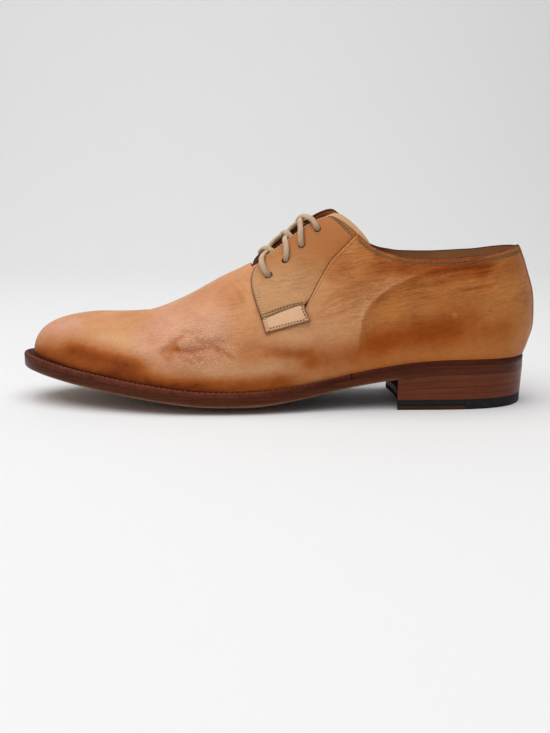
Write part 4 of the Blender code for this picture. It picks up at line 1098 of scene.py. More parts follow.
def upper_masks(surface, row, above, edge, open_edge, trough):
    """Masks of the upper's outer face from 0 to 1, by name.

    seam darkens the collar's edge and its rows of stitches, the seam at the back and the facing seam. orange
    is the quarters' colour, which ends at a line that slants forward. burnish is polish in the bands of
    TONES, some of which are painted shade, polish along the sole with painted shade just over the feather
    edge where the upper meets the welt, painted shade in the troughs, and polish under the collar. wrinkle is
    strongest high on the quarters, and flex is a bell over the ball.
    """
    station = surface[..., 0] / MM
    collar = open_edge * soft_step((PEAK_ROW + 0.02 - row) / 0.04)
    stitched = sum(bell(edge - below, STITCH_DENT) for below in COLLAR_STITCHES)
    seam = collar * (0.35 * stitched + 0.75 * bell(edge, 0.8))
    seam += 0.6 * bell(row - 0.15, 0.035) + 0.7 * bell(row, 0.07)
    seam += (open_edge & (collar == 0)) * 0.12 * bell(edge, 0.6)
    tones = tone_masks(surface)
    # Painted shade: troughs darkened as their own shade; the band just over the feather edge is polish and
    # painted shade at the welt.
    burnish = tones["burnish"] + 0.4 * trough + 0.28 * collar * np.exp(-edge / 4)
    burnish += 0.45 * np.exp(-np.maximum(above, 0) / 4) * (0.6 + 0.4 * soft_step((row - 8) / 6))
    burnish += 0.34 * bell(above, 9.0) * soft_step((row - 16) / 4)
    quarter_end = QUARTER_STATION + 0.28 * np.clip(above - 30, 0, 40)
    ball_station, ball_height = BALL_PLACE
    return {
        "seam": np.clip(seam, 0, 1),
        "orange": np.clip(1.05 - soft_step((station - quarter_end) / 38), 0, 1),
        "burnish": np.clip(burnish, 0, DARKEST_POLISH_AND_SHADE),
        "pink": np.clip(tones["pink"], 0, 1),
        "pale": np.clip(tones["pale"], 0, 1),
        "wrinkle": 0.25 + 0.75 * soft_step((above - 12) / 30) * soft_step((140 - station) / 40),
        "flex": np.clip(1.2 * bell(station - ball_station, 22) * bell(above - ball_height, 14), 0, 1),
    }


def closed_loop(grid):
    """A grid of points or values whose first row comes again at its end."""
    return np.concatenate([grid, grid[:1]])


def build_upper():
    """Hollow shell round the whole last: outer face, rounded top edge, lining and the edge lasted under.

    The outer face is the last moved along its normal by the relief, the lining lies a wall inside the last,
    and the top edge is half a turn from the one to the other.
    """
    turns = upper_turns()
    opposite = -np.arange(len(turns)) % len(turns)
    ends = top_rise(turns)
    ends = np.where(ends[opposite] == 1.0, 1.0, ends)
    closed = ends == 1.0
    open_edge = (~closed)[:, None]
    place, rise, surface, normal = upper_shell(turns, ends, 104)
    row = np.minimum(place, LOOP - place)
    above = (surface[..., 2] - column_at("feather", place)) / MM
    girth = np.linalg.norm(np.diff(surface, axis=1), axis=-1)
    edge = np.pad(np.cumsum(girth[:, ::-1], axis=1)[:, ::-1], ((0, 0), (0, 1))) / MM
    height, trough = upper_relief(surface, row, rise, above, edge, open_edge)
    height[closed, -1] = (height + height[opposite])[closed, -1] / 2
    outer = surface + height[..., None] * normal
    *_, lined, inward = upper_shell(turns, ends, 22)
    inner = lined - sizes().upper_wall * inward

    middle = (outer[:, -1] + inner[:, -1]) / 2
    reach = (outer[:, -1] - inner[:, -1]) / 2
    upward = outer[:, -1] - outer[:, -2]
    upward /= np.linalg.norm(upward, axis=1, keepdims=True)
    angle = np.linspace(0, math.pi, 7)[None, :, None]
    rim = middle[:, None] + np.cos(angle) * reach[:, None] + RIM_HEIGHT * np.sin(angle) * upward[:, None]
    rim[closed] = outer[closed, -1][:, None]
    rim[:, -1] = np.where(closed[:, None], rim[:, -1], inner[:, -1])

    masks = upper_masks(surface, row, above, edge, open_edge, trough)
    grids = [{"points": closed_loop(outer), "masks": {key: closed_loop(mask) for key, mask in masks.items()}},
             {"points": closed_loop(inner), "slot": 1}]
    rimmed = ~(closed & np.roll(closed, -1))
    at_collar = row[:, 0] < PEAK_ROW
    for slot, zone in ((2, at_collar), (0, ~at_collar)):
        keep = np.repeat(rimmed & zone, rim.shape[1] - 1)
        grids.append({"points": closed_loop(rim), "slot": slot, "keep": keep,
                      "masks": {"orange": 0.7, "burnish": 0.25}})
    grids.append({"points": closed_loop(np.stack([inner[:, 0], outer[:, 0]], 1)), "slot": 1})
    finishes = [upper_calf(), plain_leather("lining_leather", "lining", 0.6), edge_paint()]
    make_piece("upper_calf", grids, finishes, ("upper",), "tan_calf", sharp=60)


def facing_place(up, over, side):
    """(turn, rise) on a facing: up from tab to top, over from the front edge to the rear seam."""
    lines = up[:, 0]
    front = smooth_line(np.array(FACING_FRONT) * (LAST_LENGTH / 100, MM), lines)
    rear = smooth_line(np.array(FACING_REAR) * (LAST_LENGTH / 100, INSTEP_HEIGHT / 100), lines)
    nearer = MEDIAL_REACH * soft_step((lines - 0.2) / 0.22) * (side < 0)
    front = np.stack(section_place(front[:, 0], front[:, 1] - nearer, side, "girth"), -1)
    rear = np.stack(section_place(rear[:, 0] + FACING_GAP, rear[:, 1], side, "height"), -1)
    line = front[:, None, :] * (1 - over[..., None]) + rear[:, None, :] * over[..., None]
    return line[..., 0], line[..., 1]


def facing_lift(up, over, side):
    """Lift of the facing's outer face: full where it laps the vamp, none at the rear seam.

    The medial eyelet edge stands up a little more over the first quarter of the facing's width.
    """
    lapped = table_at(LAP_ROWS, LAP_COLUMNS, "lapped", up, 0.04)
    share = table_at(LAP_ROWS, LAP_COLUMNS, "lift", up, 0.04)
    fall = soft_step((over - lapped) / np.maximum(1 - lapped, 0.02)) * soft_step((up - 0.145) / 0.06)
    stand = MEDIAL_STAND * (side < 0) * soft_step((up - 0.38) / 0.15) * (1 - soft_step(over / 0.25))
    return (FACING_WALL + LAP_GAP) * share * (1 - fall) + stand


def facing_face(up, over, side):
    """Points on a facing's outer face, with their normals."""
    turn, rise = (place[:, 0] for place in facing_place(up[:, None], over[:, None], side))
    return last_offset(turn, rise, facing_lift(up, over, side)), last_normal(turn, rise)


def facing_inset(up, inset, side):
    """Points on a facing's outer face, inset from its front edge, or from its rear edge if negative."""
    ends = [facing_place(up[:, None], np.full((len(up), 1), end), side) for end in (0.0, 1.0)]
    width = np.linalg.norm(last_point(*ends[1]) - last_point(*ends[0]), axis=-1)[:, 0]
    return facing_face(up, inset / width + (inset < 0), side)


def eyelet_places(side):
    """(turn, rise) of each eyelet, from the lowest to the top one."""
    start, end = np.array(EYELET_LINE) * (LAST_LENGTH / 100, INSTEP_HEIGHT / 100)
    line = start + (end - start) * np.linspace(0, 1, EYELETS)[:, None]
    return section_place(line[:, 0], line[:, 1], side, "height")


def punch_eyelets(piece, side, paint):
    """Cuts the eyelets: a round punch square to the last goes through the facing at each place."""
    turn, rise = eyelet_places(side)
    axis = last_normal(turn, rise)
    across = np.cross(axis, (1.0, 0.0, 0.0))
    across /= np.linalg.norm(across, axis=1, keepdims=True)
    angle = np.linspace(0, 2 * math.pi, 28, endpoint=False)[None, :, None]
    ring = EYELET_RADIUS * (np.cos(angle) * across[:, None] + np.sin(angle) * np.cross(axis, across)[:, None])
    middle = last_point(turn, rise)[:, None]
    reach = PUNCH_REACH * axis[:, None]
    ends = [middle + way * reach + size * ring for way, size in ((-1, 0), (-1, 1), (1, 1), (1, 0))]
    punch = make_piece(piece.name + "_punch", [{"points": np.stack(ends, 1), "wrap": True}], [paint])
    step = piece.modifiers.new("eyelets", "BOOLEAN")
    step.operation = "DIFFERENCE"
    step.solver = "EXACT"
    step.object = punch
    graph = bpy.context.evaluated_depsgraph_get()
    mesh = bpy.data.meshes.new_from_object(piece.evaluated_get(graph), preserve_all_data_layers=True,
                                           depsgraph=graph)
    piece.modifiers.clear()
    piece.data = mesh
    bpy.data.objects.remove(punch, do_unlink=True)


def tab_line(over):
    """Place up the facing of the tab's upper line."""
    return TAB_LINE[0] + (TAB_LINE[1] - TAB_LINE[0]) * over


def build_facing(side, calf, lining, paint):
    """Facing: an outer and an inner face over the last, with a rounded cut edge all round.

    The outer face dips along its border and along the line of the tab. Distances from the border are
    lengths measured along the grid's own lines.
    """
    word = "lateral" if side > 0 else "medial"
    up, over = np.meshgrid(np.linspace(0, 1, 170), np.linspace(0, 1, 54), indexing="ij")
    turn, rise = facing_place(up, over, side)
    surface, normal = last_point(turn, rise), last_normal(turn, rise)
    steps = [np.linalg.norm(np.diff(surface, axis=axis, prepend=np.take(surface, [0], axis)), axis=-1) / MM
             for axis in (0, 1)]
    rises, runs = np.cumsum(steps[0], axis=0), np.cumsum(steps[1], axis=1)
    front, rear, foot, head = runs, runs[:, -1:] - runs, rises, rises[-1:] - rises
    tab = soft_step((tab_line(over) - up) / 0.008 + 0.5)
    cut_rear = np.where(up < tab_line(over), rear, np.inf)
    border = np.minimum(np.minimum(front, foot), np.minimum(head, cut_rear))
    dip = np.maximum(bell(border, 0.6), 0.5 * bell(rear, 0.6))
    groove = bell(up - tab_line(over), 0.008)
    sewn = bell(front - STITCH_INSET, STITCH_DENT) * (head > COLLAR_STITCHES[0])
    sewn += sum(bell(head - below, STITCH_DENT) for below in COLLAR_STITCHES)
    sewn += sum(bell(up - tab_line(over) - above, 0.006) for above in TAB_STITCHES)
    sewn = np.clip(sewn, 0, 1)
    waves = slow_waves(surface * 1.4)
    lift = facing_lift(up, over, side) + (0.10 * waves - 0.2 * groove - 0.12 * sewn) * MM
    outer = surface + (lift - 0.4 * MM * dip)[..., None] * normal
    inner = surface + (lift - FACING_WALL)[..., None] * normal
    middle = edge_of(surface + (lift - 0.5 * FACING_WALL)[..., None] * normal)
    at_seam = edge_of((over == 1) & (up > tab_line(over)))
    masks = {
        "tab": tab,
        "seam": np.clip(0.95 * bell(border, 0.95) + 0.35 * sewn + 0.1 * groove, 0, 1),
        "orange": (0.25 * soft_step((up - 0.35) / 0.5) + 0.15 * soft_step((over - 0.5) / 0.5)) * (1 - tab),
        # A little polish all over, with painted shade that grows towards the facing's top.
        "burnish": 0.10 + 0.30 * soft_step((up - 0.30) / 0.4),
        "wrinkle": 0.15 + 0.6 * soft_step((0.75 - up) / 0.3) * (1 - tab),
        "flex": 0.2,
    }
    rim = np.stack([edge_of(outer), middle, edge_of(inner)])
    grids = [
        {"points": outer, "masks": masks},
        {"points": inner, "slot": 1},
        {"points": rim, "wrap": True, "slot": 2, "keep": np.tile(~at_seam, 2)},
        {"points": rim, "wrap": True, "keep": np.tile(at_seam, 2), "masks": {"orange": 0.6, "burnish": 0.25}},
    ]
    finishes = [calf, lining, paint]
    piece = make_piece("facing_calf_" + word, grids, finishes, ("facing_" + word,), "facing_calf", sharp=40)
    punch_eyelets(piece, side, paint)


def build_tongue():
    """Tongue: a soft strip just under the last, thick in the middle and thinned towards its rim."""
    up, over = np.meshgrid(np.linspace(0, 1, 70), np.linspace(-1, 1, 61), indexing="ij")
    half = table_at(TONGUE_ROWS, TONGUE_COLUMNS, "half", up, 0.08) * MM
    station = table_at(TONGUE_ROWS, TONGUE_COLUMNS, "station", up)
    station = (station - TONGUE_DROP * soft_step((up - 0.5) / 0.5) * np.abs(over) ** 1.3) * LAST_LENGTH / 100
    turn, rise = section_place(station, np.abs(over) * half, side_of(over), "girth")
    surface, normal = last_point(turn, rise), last_normal(turn, rise)
    rim = np.maximum(soft_step((np.abs(over) - 0.9) / 0.1), soft_step((up - 0.965) / 0.035))
    depth = TONGUE_DEPTH + 0.5 * MM * rim - 0.12 * MM * slow_waves(surface * 2)
    outer = surface - depth[..., None] * normal
    inner = surface - (depth + TONGUE_WALL - 0.9 * MM * rim)[..., None] * normal
    grids = [{"points": outer}, {"points": inner, "slot": 1},
             {"points": np.stack([edge_of(outer), edge_of(inner)]), "wrap": True}]
    finishes = [plain_leather("tongue_calf_skin", "tongue", 0.52),
                plain_leather("tongue_lining", "lining", 0.6)]
    make_piece("tongue_calf", grids, finishes, ("tongue",), "tongue_calf", sharp=50)


def tube_grid(path, normal, width, height):
    """Cord along a path: an oval ring square to it at each point, drawn to a point at both ends."""
    along = np.gradient(path, axis=0)
    along /= np.linalg.norm(along, axis=1, keepdims=True)
    across = np.cross(along, normal)
    across /= np.linalg.norm(across, axis=1, keepdims=True)
    lift = np.cross(across, along)
    count = 18
    angle = np.linspace(0, 2 * math.pi, count, endpoint=False)[None, :, None]
    ring = width / 2 * np.cos(angle) * across[:, None] + height / 2 * np.sin(angle) * lift[:, None]
    points = path[:, None] + ring
    points = np.concatenate([path[:1, None] + 0 * ring[:1], points, path[-1:, None] + 0 * ring[-1:]])
    run = np.concatenate([[0], np.cumsum(np.linalg.norm(np.diff(path, axis=0), axis=1))]) / MM
    run = np.concatenate([run[:1], run, run[-1:]])
    turn = np.linspace(0, math.pi * width / MM, count)
    uv = np.stack(np.broadcast_arrays(run[:, None], turn[None, :]), -1)
    # Painted shade: darker towards both ends, where the strand goes down through an eyelet or under the far
    # facing.
    dirt = np.exp(-np.minimum(run, run[-1] - run) / LACE_END_SHADE)[:, None]
    return {"points": points, "wrap": True, "uv": uv, "masks": {"dirt": dirt}}


def build_lace():
    """Lace: six strands that come up through the eyelets, cross over the gap and go under or in again."""
    braid = waxed_cotton()
    for word in ("low", "middle", "top"):
        grids = []
        for side in ("lateral", "medial"):
            rows = np.array(LACE_STRANDS[side + "_" + word]) * MM
            path = smooth_line(rows, np.linspace(0, 1, 90))
            turn, rise = section_place(path[:, 0], np.abs(path[:, 1]), side_of(path[:, 1]), "girth")
            grids.append(tube_grid(last_offset(turn, rise, path[:, 2]), last_normal(turn, rise),
                                   sizes().lace_width, LACE_FLATNESS * sizes().lace_width))
        make_piece("lace_strands_" + word, grids, [braid], ("lace_" + word,), "beige_lace_cotton", sharp=70)


def build_insole():
    """The insole keeps its solid and gets a finish: natural leather, darkened by wear."""
    node = frame["nodes"]["insole"]
    finish = plain_leather("insole_leather", "lining", 0.62, 0.5)
    node.data.materials.clear()
    node.data.materials.append(finish)


def strip_grid(turns, corners):
    """Strip that carries a profile along the feather edge: corners are (moved out, height), one a column."""
    sections = np.stack([with_height(plan_point(turns, out), z) for out, z in corners], 1)
    ends = [np.broadcast_to(sections[k].mean(axis=0), sections[k].shape)[None] for k in (0, -1)]
    return np.concatenate([ends[0], sections, ends[1]])


# Welt's upper profile over its bead and its stitch groove: mm out from the margin, mm below the top, share of
# the groove's depth. BEAD_COLUMN is the corner of the whole profile on which the bead is rubbed most
WELT_PROFILE = ((0.08, 1.6, 0.0), (0.0, 0.9, 0.0), (-0.25, 0.4, 0.0), (-0.6, 0.1, 0.0), (-1.1, 0.0, 0.0),
                (-1.6, 0.0, 0.4), (-2.0, 0.0, 1.0), (-2.6, 0.0, 1.0), (-3.0, 0.0, 0.3))
BEAD_COLUMN = 6


def build_welt():
    """Welt and heel rand: a ledge with a rounded bead along its edge and a shallow groove inside it."""
    end = JOINT_ROW - JOINT_GAP
    strips = {
        "welt": (np.linspace(JOINT_ROW, LOOP - JOINT_ROW, 420), "brown_welt_leather"),
        "heel_rand": (np.linspace(-end, end, 240), "brown_sole_leather"),
    }
    for name, (turns, slot) in strips.items():
        margin = column_at("margin", turns)
        top = column_at("feather", turns) - GAP
        inside = np.full(turns.shape, -WELT_REACH)
        groove = 0.25 * MM * soft_step(margin / MM - 2.2)
        low = top - WELT_THICK
        corners = [(inside, low), (margin - 0.06 * MM, low), (margin, low + 0.1 * MM)]
        corners += [(margin + out * MM, top - down * MM - part * groove) for out, down, part in WELT_PROFILE]
        corners += [(np.minimum(margin - 3.2 * MM, -1.0 * MM), top), (inside, top - 0.1 * MM)]
        points = strip_grid(turns, corners)
        columns = np.arange(len(corners))
        row = np.minimum(turns % LOOP, -turns % LOOP)
        # The bead and side are rubbed to the welt's lighter colour; the inner ledge by the upper stays dark
        # as painted shade.
        rubbed = np.where(columns < BEAD_COLUMN, 0.55, 0.9 * bell(columns - BEAD_COLUMN, 1.1))
        # Painted shade: darker towards the waist and along the whole heel rand.
        rubbed = rubbed * np.pad(0.3 + 0.7 * soft_step((row - 8.5) / 3), 1, mode="edge")[:, None]
        finish = waxed_edge(name + "_leather", "edge", 1.1, "welt", rough=0.5, gloss=0.12)
        make_piece(name + "_strip", [{"points": points, "wrap": True, "masks": {"worn": rubbed}}], [finish],
                   (name,), slot, sharp=50)


def layered(rows, across, edges, foot, top):
    """Grids of a flat layer: its under and upper face, and a side whose profile comes from edges.

    edges has a row for each line of the side: share of the way up, mm moved out from the margin, worn. The
    worn and rounded lower corner fades out over the heel.
    """
    off_heel = soft_step((rows - BREAST_ROW + 0.3) / 0.6)
    rims, marks, plans = [], [], []
    for share, out, rub in edges:
        plans.append(rungs(rows, column_at("margin", rows) + out * off_heel * MM, across))
        rims.append(edge_of(with_height(plans[-1], foot + (top - foot) * share)))
        marks.append(edge_of(np.broadcast_to(rub * off_heel[:, None], plans[-1].shape[:2])))
    return [
        # The under face stays dark behind the ball as painted shade under the arch; worn brings the tread
        # colour in forward.
        {"points": with_height(plans[0], foot), "slot": 1,
         "masks": {"worn": soft_step((rows - 9.5) / 1.5)[:, None]}},
        {"points": with_height(plans[-1], top)},
        {"points": np.stack(rims), "wrap": True, "masks": {"worn": np.stack(marks)}},
    ]


# Sole's edge: the rows that layered() reads
SOLE_EDGE = ((0.0, -0.9, 0.9), (0.05, -0.4, 1.0), (0.13, -0.1, 0.7), (0.25, 0.0, 0.1), (0.5, 0.06, 0.0),
             (0.75, 0.06, 0.0), (0.97, 0.0, 0.0), (1.0, -0.06, 0.0))


def build_outsole():
    """Outsole: a sheet that sags under the ball, flat where it rests, with a trimmed and waxed edge."""
    rows = np.linspace(0, TOE_ROW, 190)
    across = np.sin(np.linspace(-1, 1, 41) * math.pi / 2)
    belly = column_at("belly", rows)[:, None]
    foot = np.maximum(outsole_foot(rows)[:, None] - belly * (1 - np.abs(across) ** SAG_POWER), 0)
    level = np.minimum(np.abs(across) / LEVEL_FROM, 1)
    top = outsole_top(rows)[:, None] - belly * (1 - level ** SAG_POWER)
    grids = layered(rows, across, SOLE_EDGE, foot, top)
    # The tread's dark edge colour under the arch is painted shade; the worn tread colour comes in towards the
    # toe.
    finishes = [waxed_edge("sole_edge", "sole", 0.9, "tread"),
                plain_leather("worn_tread_and_arch_shade", "edge", 0.6, 0.5, "tread", "worn")]
    make_piece("outsole_leather", grids, finishes, ("outsole",), "brown_sole_leather", sharp=40)


def heel_plan(rows, across, out):
    """Heel's plan, moved out from the sole's edge, with a hollow breast."""
    plan = rungs(rows, column_at("margin", rows) + out, across)
    hollow = BREAST_HOLLOW * (rows / BREAST_ROW)[:, None] ** 8 * (1 - across ** 2)
    plan[..., 0] -= hollow
    return plan


def heel_layer(rows, across, levels, joints=0.0):
    """Grids of a heel layer: levels are (moved out, height) from its foot to its top.

    joints says how dark each level is. The breast, the side's stretch along the last row, is slot 1.
    """
    faces = [with_height(heel_plan(rows, across, out), height) for out, height in levels]
    side = np.stack([edge_of(face) for face in faces])
    last = edge_of(np.broadcast_to(rows[:, None] == rows[-1], faces[0].shape[:2]))
    breast = np.tile(last & np.roll(last, -1), len(levels) - 1)
    dark = np.broadcast_to(joints, len(levels))[:, None]
    return [{"points": faces[0]}, {"points": faces[-1]},
            {"points": side, "wrap": True, "keep": ~breast, "masks": {"worn": dark}},
            {"points": side, "wrap": True, "keep": breast, "slot": 1}]


def build_heel():
    """Heel: leather lifts with a fine line between them, a rubber top piece and a leather insert in front."""
    across = np.sin(np.linspace(-1, 1, 31) * math.pi / 2)
    rows = np.linspace(0, BREAST_ROW, 90)
    top = (outsole_foot(rows) - GAP)[:, None] + 0 * across
    low = RUBBER_THICK + GAP
    share = np.linspace(0, 1, 61)
    count = np.round((top.mean() - low) / sizes().lift)
    joints = bell(share * count - np.round(share * count), 0.07)
    inset = -HEEL_TAPER * 0.7 * (1 - share) - 0.08 * MM * joints
    levels = [(out, low + (top - low) * part) for out, part in zip(inset, share)]
    # Painted shade: the heel's breast is near black with hardly any reflection, for the shade under the arch.
    breast = plain_leather("breast_painted_shade", "edge", 0.9, 0.6, gloss=0.02)
    finishes = [waxed_edge("heel_leather", "heel", 1.3, "edge", 0.6), breast]
    make_piece("heel_lifts", heel_layer(rows, across, levels, 0.8 * joints), finishes, ("heel_stack",),
               "stacked_heel_leather", sharp=50)

    front = np.linspace(INSERT_ROW, BREAST_ROW, 34)
    back = np.linspace(0, INSERT_ROW, 56)
    rows = np.concatenate([back, front])
    step = np.repeat([0.0, INSERT_THICK + GAP], [len(back), len(front)])[:, None] + 0 * across
    levels = [(-HEEL_TAPER - 0.4 * MM, step), (-HEEL_TAPER, step + 0.4 * MM),
              (-HEEL_TAPER * 0.75, np.full(step.shape, RUBBER_THICK - 0.1 * MM)),
              (-HEEL_TAPER * 0.8, np.full(step.shape, RUBBER_THICK))]
    rubber = heel_rubber_material()
    make_piece("heel_top_piece", heel_layer(rows, across, levels), [rubber, rubber], ("heel_rubber",),
               "black_heel_rubber", sharp=40)

    rows = np.linspace(INSERT_ROW + INSERT_GAP, BREAST_ROW, 40)
    flat = np.zeros((len(rows), len(across)))
    levels = [(-HEEL_TAPER - 0.3 * MM, flat), (-HEEL_TAPER, flat + 0.3 * MM),
              (-HEEL_TAPER, flat + INSERT_THICK)]
    finishes = [waxed_edge("insert_leather", "insert", 1.0), breast]
    make_piece("heel_front_insert", heel_layer(rows, across, levels), finishes, ("heel_insert",),
               "stacked_heel_leather", sharp=40)


def stitch_grid(path, normal, pitch, length, width, height):
    """Stitches along a path: a low capsule each, its long axis along the path, half sunk in the leather."""
    run = np.concatenate([[0], np.cumsum(np.linalg.norm(np.diff(path, axis=0), axis=1))])
    spots = np.arange(pitch / 2, run[-1], pitch)
    step = 0.4 * MM
    middle, ahead, behind = (np.stack([np.interp(spots + shift, run, column) for column in path.T], 1)
                             for shift in (0.0, step, -step))
    up = np.stack([np.interp(spots, run, column) for column in normal.T], 1)
    along = ahead - behind
    along /= np.linalg.norm(along, axis=1, keepdims=True)
    across = np.cross(up, along)
    across /= np.linalg.norm(across, axis=1, keepdims=True)
    place = np.array([-1.0, -0.82, -0.35, 0.35, 0.82, 1.0])
    thick = np.array([0.0, 0.7, 1.0, 1.0, 0.7, 0.0])
    angle = np.linspace(0, 2 * math.pi, 7)[:-1]
    a = (place * length / 2)[:, None] + 0 * angle
    b = thick[:, None] * np.cos(angle) * width / 2
    c = thick[:, None] * np.sin(angle) * height / 2
    points = middle[:, None, None]
    for size, axis in ((a, along), (b, across), (c, up)):
        points = points + size[..., None] * axis[:, None, None]
    return {"points": points, "wrap": True}


def facing_stitch_lines(side):
    """Lines of stitching on a facing: pale inside its front and eyelet edge, dark on tab and top edge."""
    up = np.linspace(0.03, 0.93, 240)
    pale = [facing_inset(up, np.full(up.shape, STITCH_INSET * MM), side)]
    over = np.linspace(0.05, 0.95, 60)
    dark = [facing_face(tab_line(over) + above, over, side) for above in TAB_STITCHES]
    dark.append(facing_face(np.full(over.shape, TAB_FOOT), 0.06 + 0.88 * over, side))
    up = np.linspace(TAB_FOOT, 0.15, 30)
    dark.append(facing_inset(up, np.full(up.shape, -TAB_INSET), side))
    over = np.linspace(0.05, 0.99, 60)
    top_part = 0.04
    top, lower = last_point(*facing_place(np.array([[1.0], [1.0 - top_part]]), np.full((2, 1), 0.5), side))
    share = top_part * MM / np.linalg.norm(top - lower)
    dark += [facing_face(np.full(over.shape, 1 - below * share), over, side) for below in COLLAR_STITCHES]
    return pale, dark


def collar_line(below):
    """Line that runs along the collar at a distance below its edge, from one facing round to the other."""
    turns = np.linspace(-PEAK_ROW + 0.03, PEAK_ROW - 0.03, 500)
    ends = top_rise(turns % LOOP)
    step = 0.02
    girth = np.linalg.norm(last_point(turns, ends) - last_point(turns, ends - step), axis=-1) / step
    rise = ends - below / girth
    return last_offset(turns, rise, np.full(turns.shape, 0.05 * MM)), last_normal(turns, rise)


def build_stitching():
    """Rows of stitches on the facings, along the collar and on the welt."""
    length, pitch = sizes().stitch_length, sizes().stitch_pitch
    pale, dark = [], [collar_line(below * MM) for below in COLLAR_STITCHES]
    for side in (1, -1):
        lines = facing_stitch_lines(side)
        pale += lines[0]
        dark += lines[1]
    for name, lines, tone, slot in (("facing_stitches", pale, "thread", "facing_calf"),
                                    ("collar_stitches", dark, "collar_thread", "tan_calf")):
        grids = [stitch_grid(*line, pitch, length, THREAD_WIDTH, THREAD_HEIGHT) for line in lines]
        make_piece(name, grids, [thread_material(name + "_thread", tone)], (), slot, sharp=80)

    turns = np.linspace(JOINT_ROW + 0.05, LOOP - JOINT_ROW - 0.05, 900)
    margin = column_at("margin", turns)
    top = column_at("feather", turns) - GAP
    path = with_height(plan_point(turns, margin - WELT_STITCH_INSET), top - 0.1 * MM)
    normal = np.broadcast_to(np.array([0.0, 0.0, 1.0]), path.shape)
    pitch = sizes().welt_pitch
    grids = [stitch_grid(path, normal, pitch, WELT_STITCH_SHARE * pitch, THREAD_WIDTH, WELT_THREAD_HEIGHT)]
    thread = thread_material("welt_thread", "welt")
    make_piece("welt_stitches", grids, [thread], (), "brown_welt_leather", sharp=80)


def add_light(name, size, power, place, aim):
    """Square soft box of that size at a place, turned to face a point."""
    light = bpy.data.lights.new(name, "AREA")
    light.shape = "SQUARE"
    light.size = size
    light.energy = power
    lamp = bpy.data.objects.new(name, light)
    lamp.location = place
    along = np.array(aim) - np.array(place)
    along /= np.linalg.norm(along)
    lamp.rotation_euler = (math.acos(-along[2]), 0.0, math.atan2(along[1], along[0]) - math.pi / 2)
    bpy.context.scene.collection.objects.link(lamp)


def build_stage():
    """Paper sweep, soft boxes, pale room and the camera at the picture's angle.

    The sweep's profile is a level floor, a quarter turn of its bend and an upright back.
    """
    turn = np.linspace(0, math.pi / 2, 24)
    curve = np.stack([SWEEP_BACK - SWEEP_BEND * np.sin(turn), SWEEP_BEND - SWEEP_BEND * np.cos(turn)], 1)
    profile = np.vstack([(SWEEP_FRONT, 0.0), curve, (SWEEP_BACK - SWEEP_BEND, SWEEP_TOP)])
    points = np.stack([np.insert(profile, 0, x, axis=1) for x in (-SWEEP_HALF_WIDTH, SWEEP_HALF_WIDTH)], 1)
    mesh = bpy.data.meshes.new("sweep")
    faces = grid_faces(len(profile), 2, False, 1)[:, ::-1]
    mesh.from_pydata(points.reshape(-1, 3).tolist(), [], faces.tolist())
    mesh.materials.append(paper())
    mesh.shade_smooth()
    sweep = bpy.data.objects.new("sweep", mesh)
    bpy.context.scene.collection.objects.link(sweep)

    for box in SOFT_BOXES:
        add_light(*box)
    world = bpy.data.worlds.new("pale_room")
    world.use_nodes = True
    room = world.node_tree.nodes["Background"]
    room.inputs["Color"].default_value = ROOM_COLOUR
    room.inputs["Strength"].default_value = ROOM_STRENGTH
    bpy.context.scene.world = world

    lens = bpy.data.cameras.new("camera")
    lens.sensor_width = SENSOR_SIZE
    lens.lens = FOCAL_LENGTH / PICTURE_HEIGHT * SENSOR_SIZE
    lens.clip_start = 0.01
    camera = bpy.data.objects.new("camera", lens)
    camera.location = CAMERA_PLACE - MIDDLE
    camera.rotation_euler = (math.pi / 2 - CAMERA_DIP, 0.0, math.pi)
    bpy.context.scene.collection.objects.link(camera)
    bpy.context.scene.camera = camera
    bpy.context.scene.view_settings.view_transform = "Standard"


class DERBY_OT_upper(bpy.types.Operator):
    """Build the hollow upper with its creases and tones."""

    bl_idname = "derby.upper"
    bl_label = "Upper"

    def execute(self, context):
        build_upper()
        return {"FINISHED"}


class DERBY_OT_facings(bpy.types.Operator):
    """Build both facings and punch their eyelets."""

    bl_idname = "derby.facings"
    bl_label = "Facings"

    def execute(self, context):
        calf, lining, paint = facing_calf(), plain_leather("facing_lining", "lining", 0.6), edge_paint()
        for side in (1, -1):
            build_facing(side, calf, lining, paint)
        return {"FINISHED"}


class DERBY_OT_tongue(bpy.types.Operator):
    """Build the tongue."""

    bl_idname = "derby.tongue"
    bl_label = "Tongue"

    def execute(self, context):
        build_tongue()
        return {"FINISHED"}


class DERBY_OT_lace(bpy.types.Operator):
    """Build the lace's strands through the eyelets."""

    bl_idname = "derby.lace"
    bl_label = "Lace"

    def execute(self, context):
        build_lace()
        return {"FINISHED"}


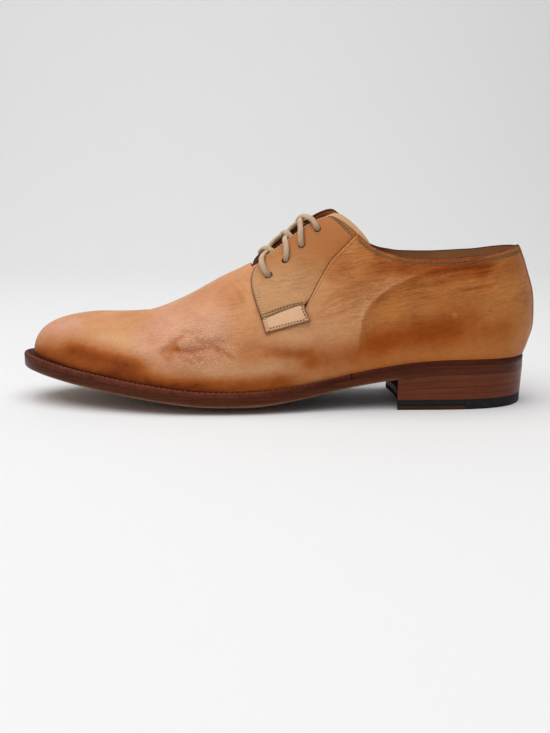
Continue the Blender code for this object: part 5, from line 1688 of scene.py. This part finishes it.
class DERBY_OT_bottom(bpy.types.Operator):
    """Build welt, rand, outsole and heel, and finish the insole."""

    bl_idname = "derby.bottom"
    bl_label = "Bottom"

    def execute(self, context):
        build_insole()
        build_welt()
        build_outsole()
        build_heel()
        return {"FINISHED"}


class DERBY_OT_stitching(bpy.types.Operator):
    """Build the rows of stitches."""

    bl_idname = "derby.stitching"
    bl_label = "Stitching"

    def execute(self, context):
        build_stitching()
        return {"FINISHED"}


class DERBY_OT_stage(bpy.types.Operator):
    """Build the sweep, the lights and the camera."""

    bl_idname = "derby.stage"
    bl_label = "Stage"

    def execute(self, context):
        build_stage()
        return {"FINISHED"}


OPERATORS = (DERBY_OT_upper, DERBY_OT_facings, DERBY_OT_tongue, DERBY_OT_lace, DERBY_OT_bottom,
             DERBY_OT_stitching, DERBY_OT_stage)


class DERBY_PT_panel(bpy.types.Panel):
    """Sizes, colours and the steps that build the shoe."""

    bl_idname = "DERBY_PT_panel"
    bl_label = "Plain Toe Derby"
    bl_space_type = "VIEW_3D"
    bl_region_type = "UI"
    bl_category = "Derby"

    def draw(self, context):
        for group in (context.scene.derby_sizes, context.scene.derby_colours):
            for key in group.__annotations__:
                self.layout.prop(group, key)
        for operator in OPERATORS:
            self.layout.operator(operator.bl_idname)


CLASSES = (DerbySizes, DerbyColours, *OPERATORS, DERBY_PT_panel)


def register():
    """Adds the classes and the shoe's settings."""
    for cls in CLASSES:
        bpy.utils.register_class(cls)
    bpy.types.Scene.derby_sizes = bpy.props.PointerProperty(type=DerbySizes)
    bpy.types.Scene.derby_colours = bpy.props.PointerProperty(type=DerbyColours)


def unregister():
    """Takes them away again."""
    del bpy.types.Scene.derby_colours
    del bpy.types.Scene.derby_sizes
    for cls in reversed(CLASSES):
        bpy.utils.unregister_class(cls)


def main():
    """Builds everything through the operators."""
    register()
    for step in (bpy.ops.derby.upper, bpy.ops.derby.facings, bpy.ops.derby.tongue, bpy.ops.derby.lace,
                 bpy.ops.derby.bottom, bpy.ops.derby.stitching, bpy.ops.derby.stage):
        step()


if __name__ == "__main__":
    main()
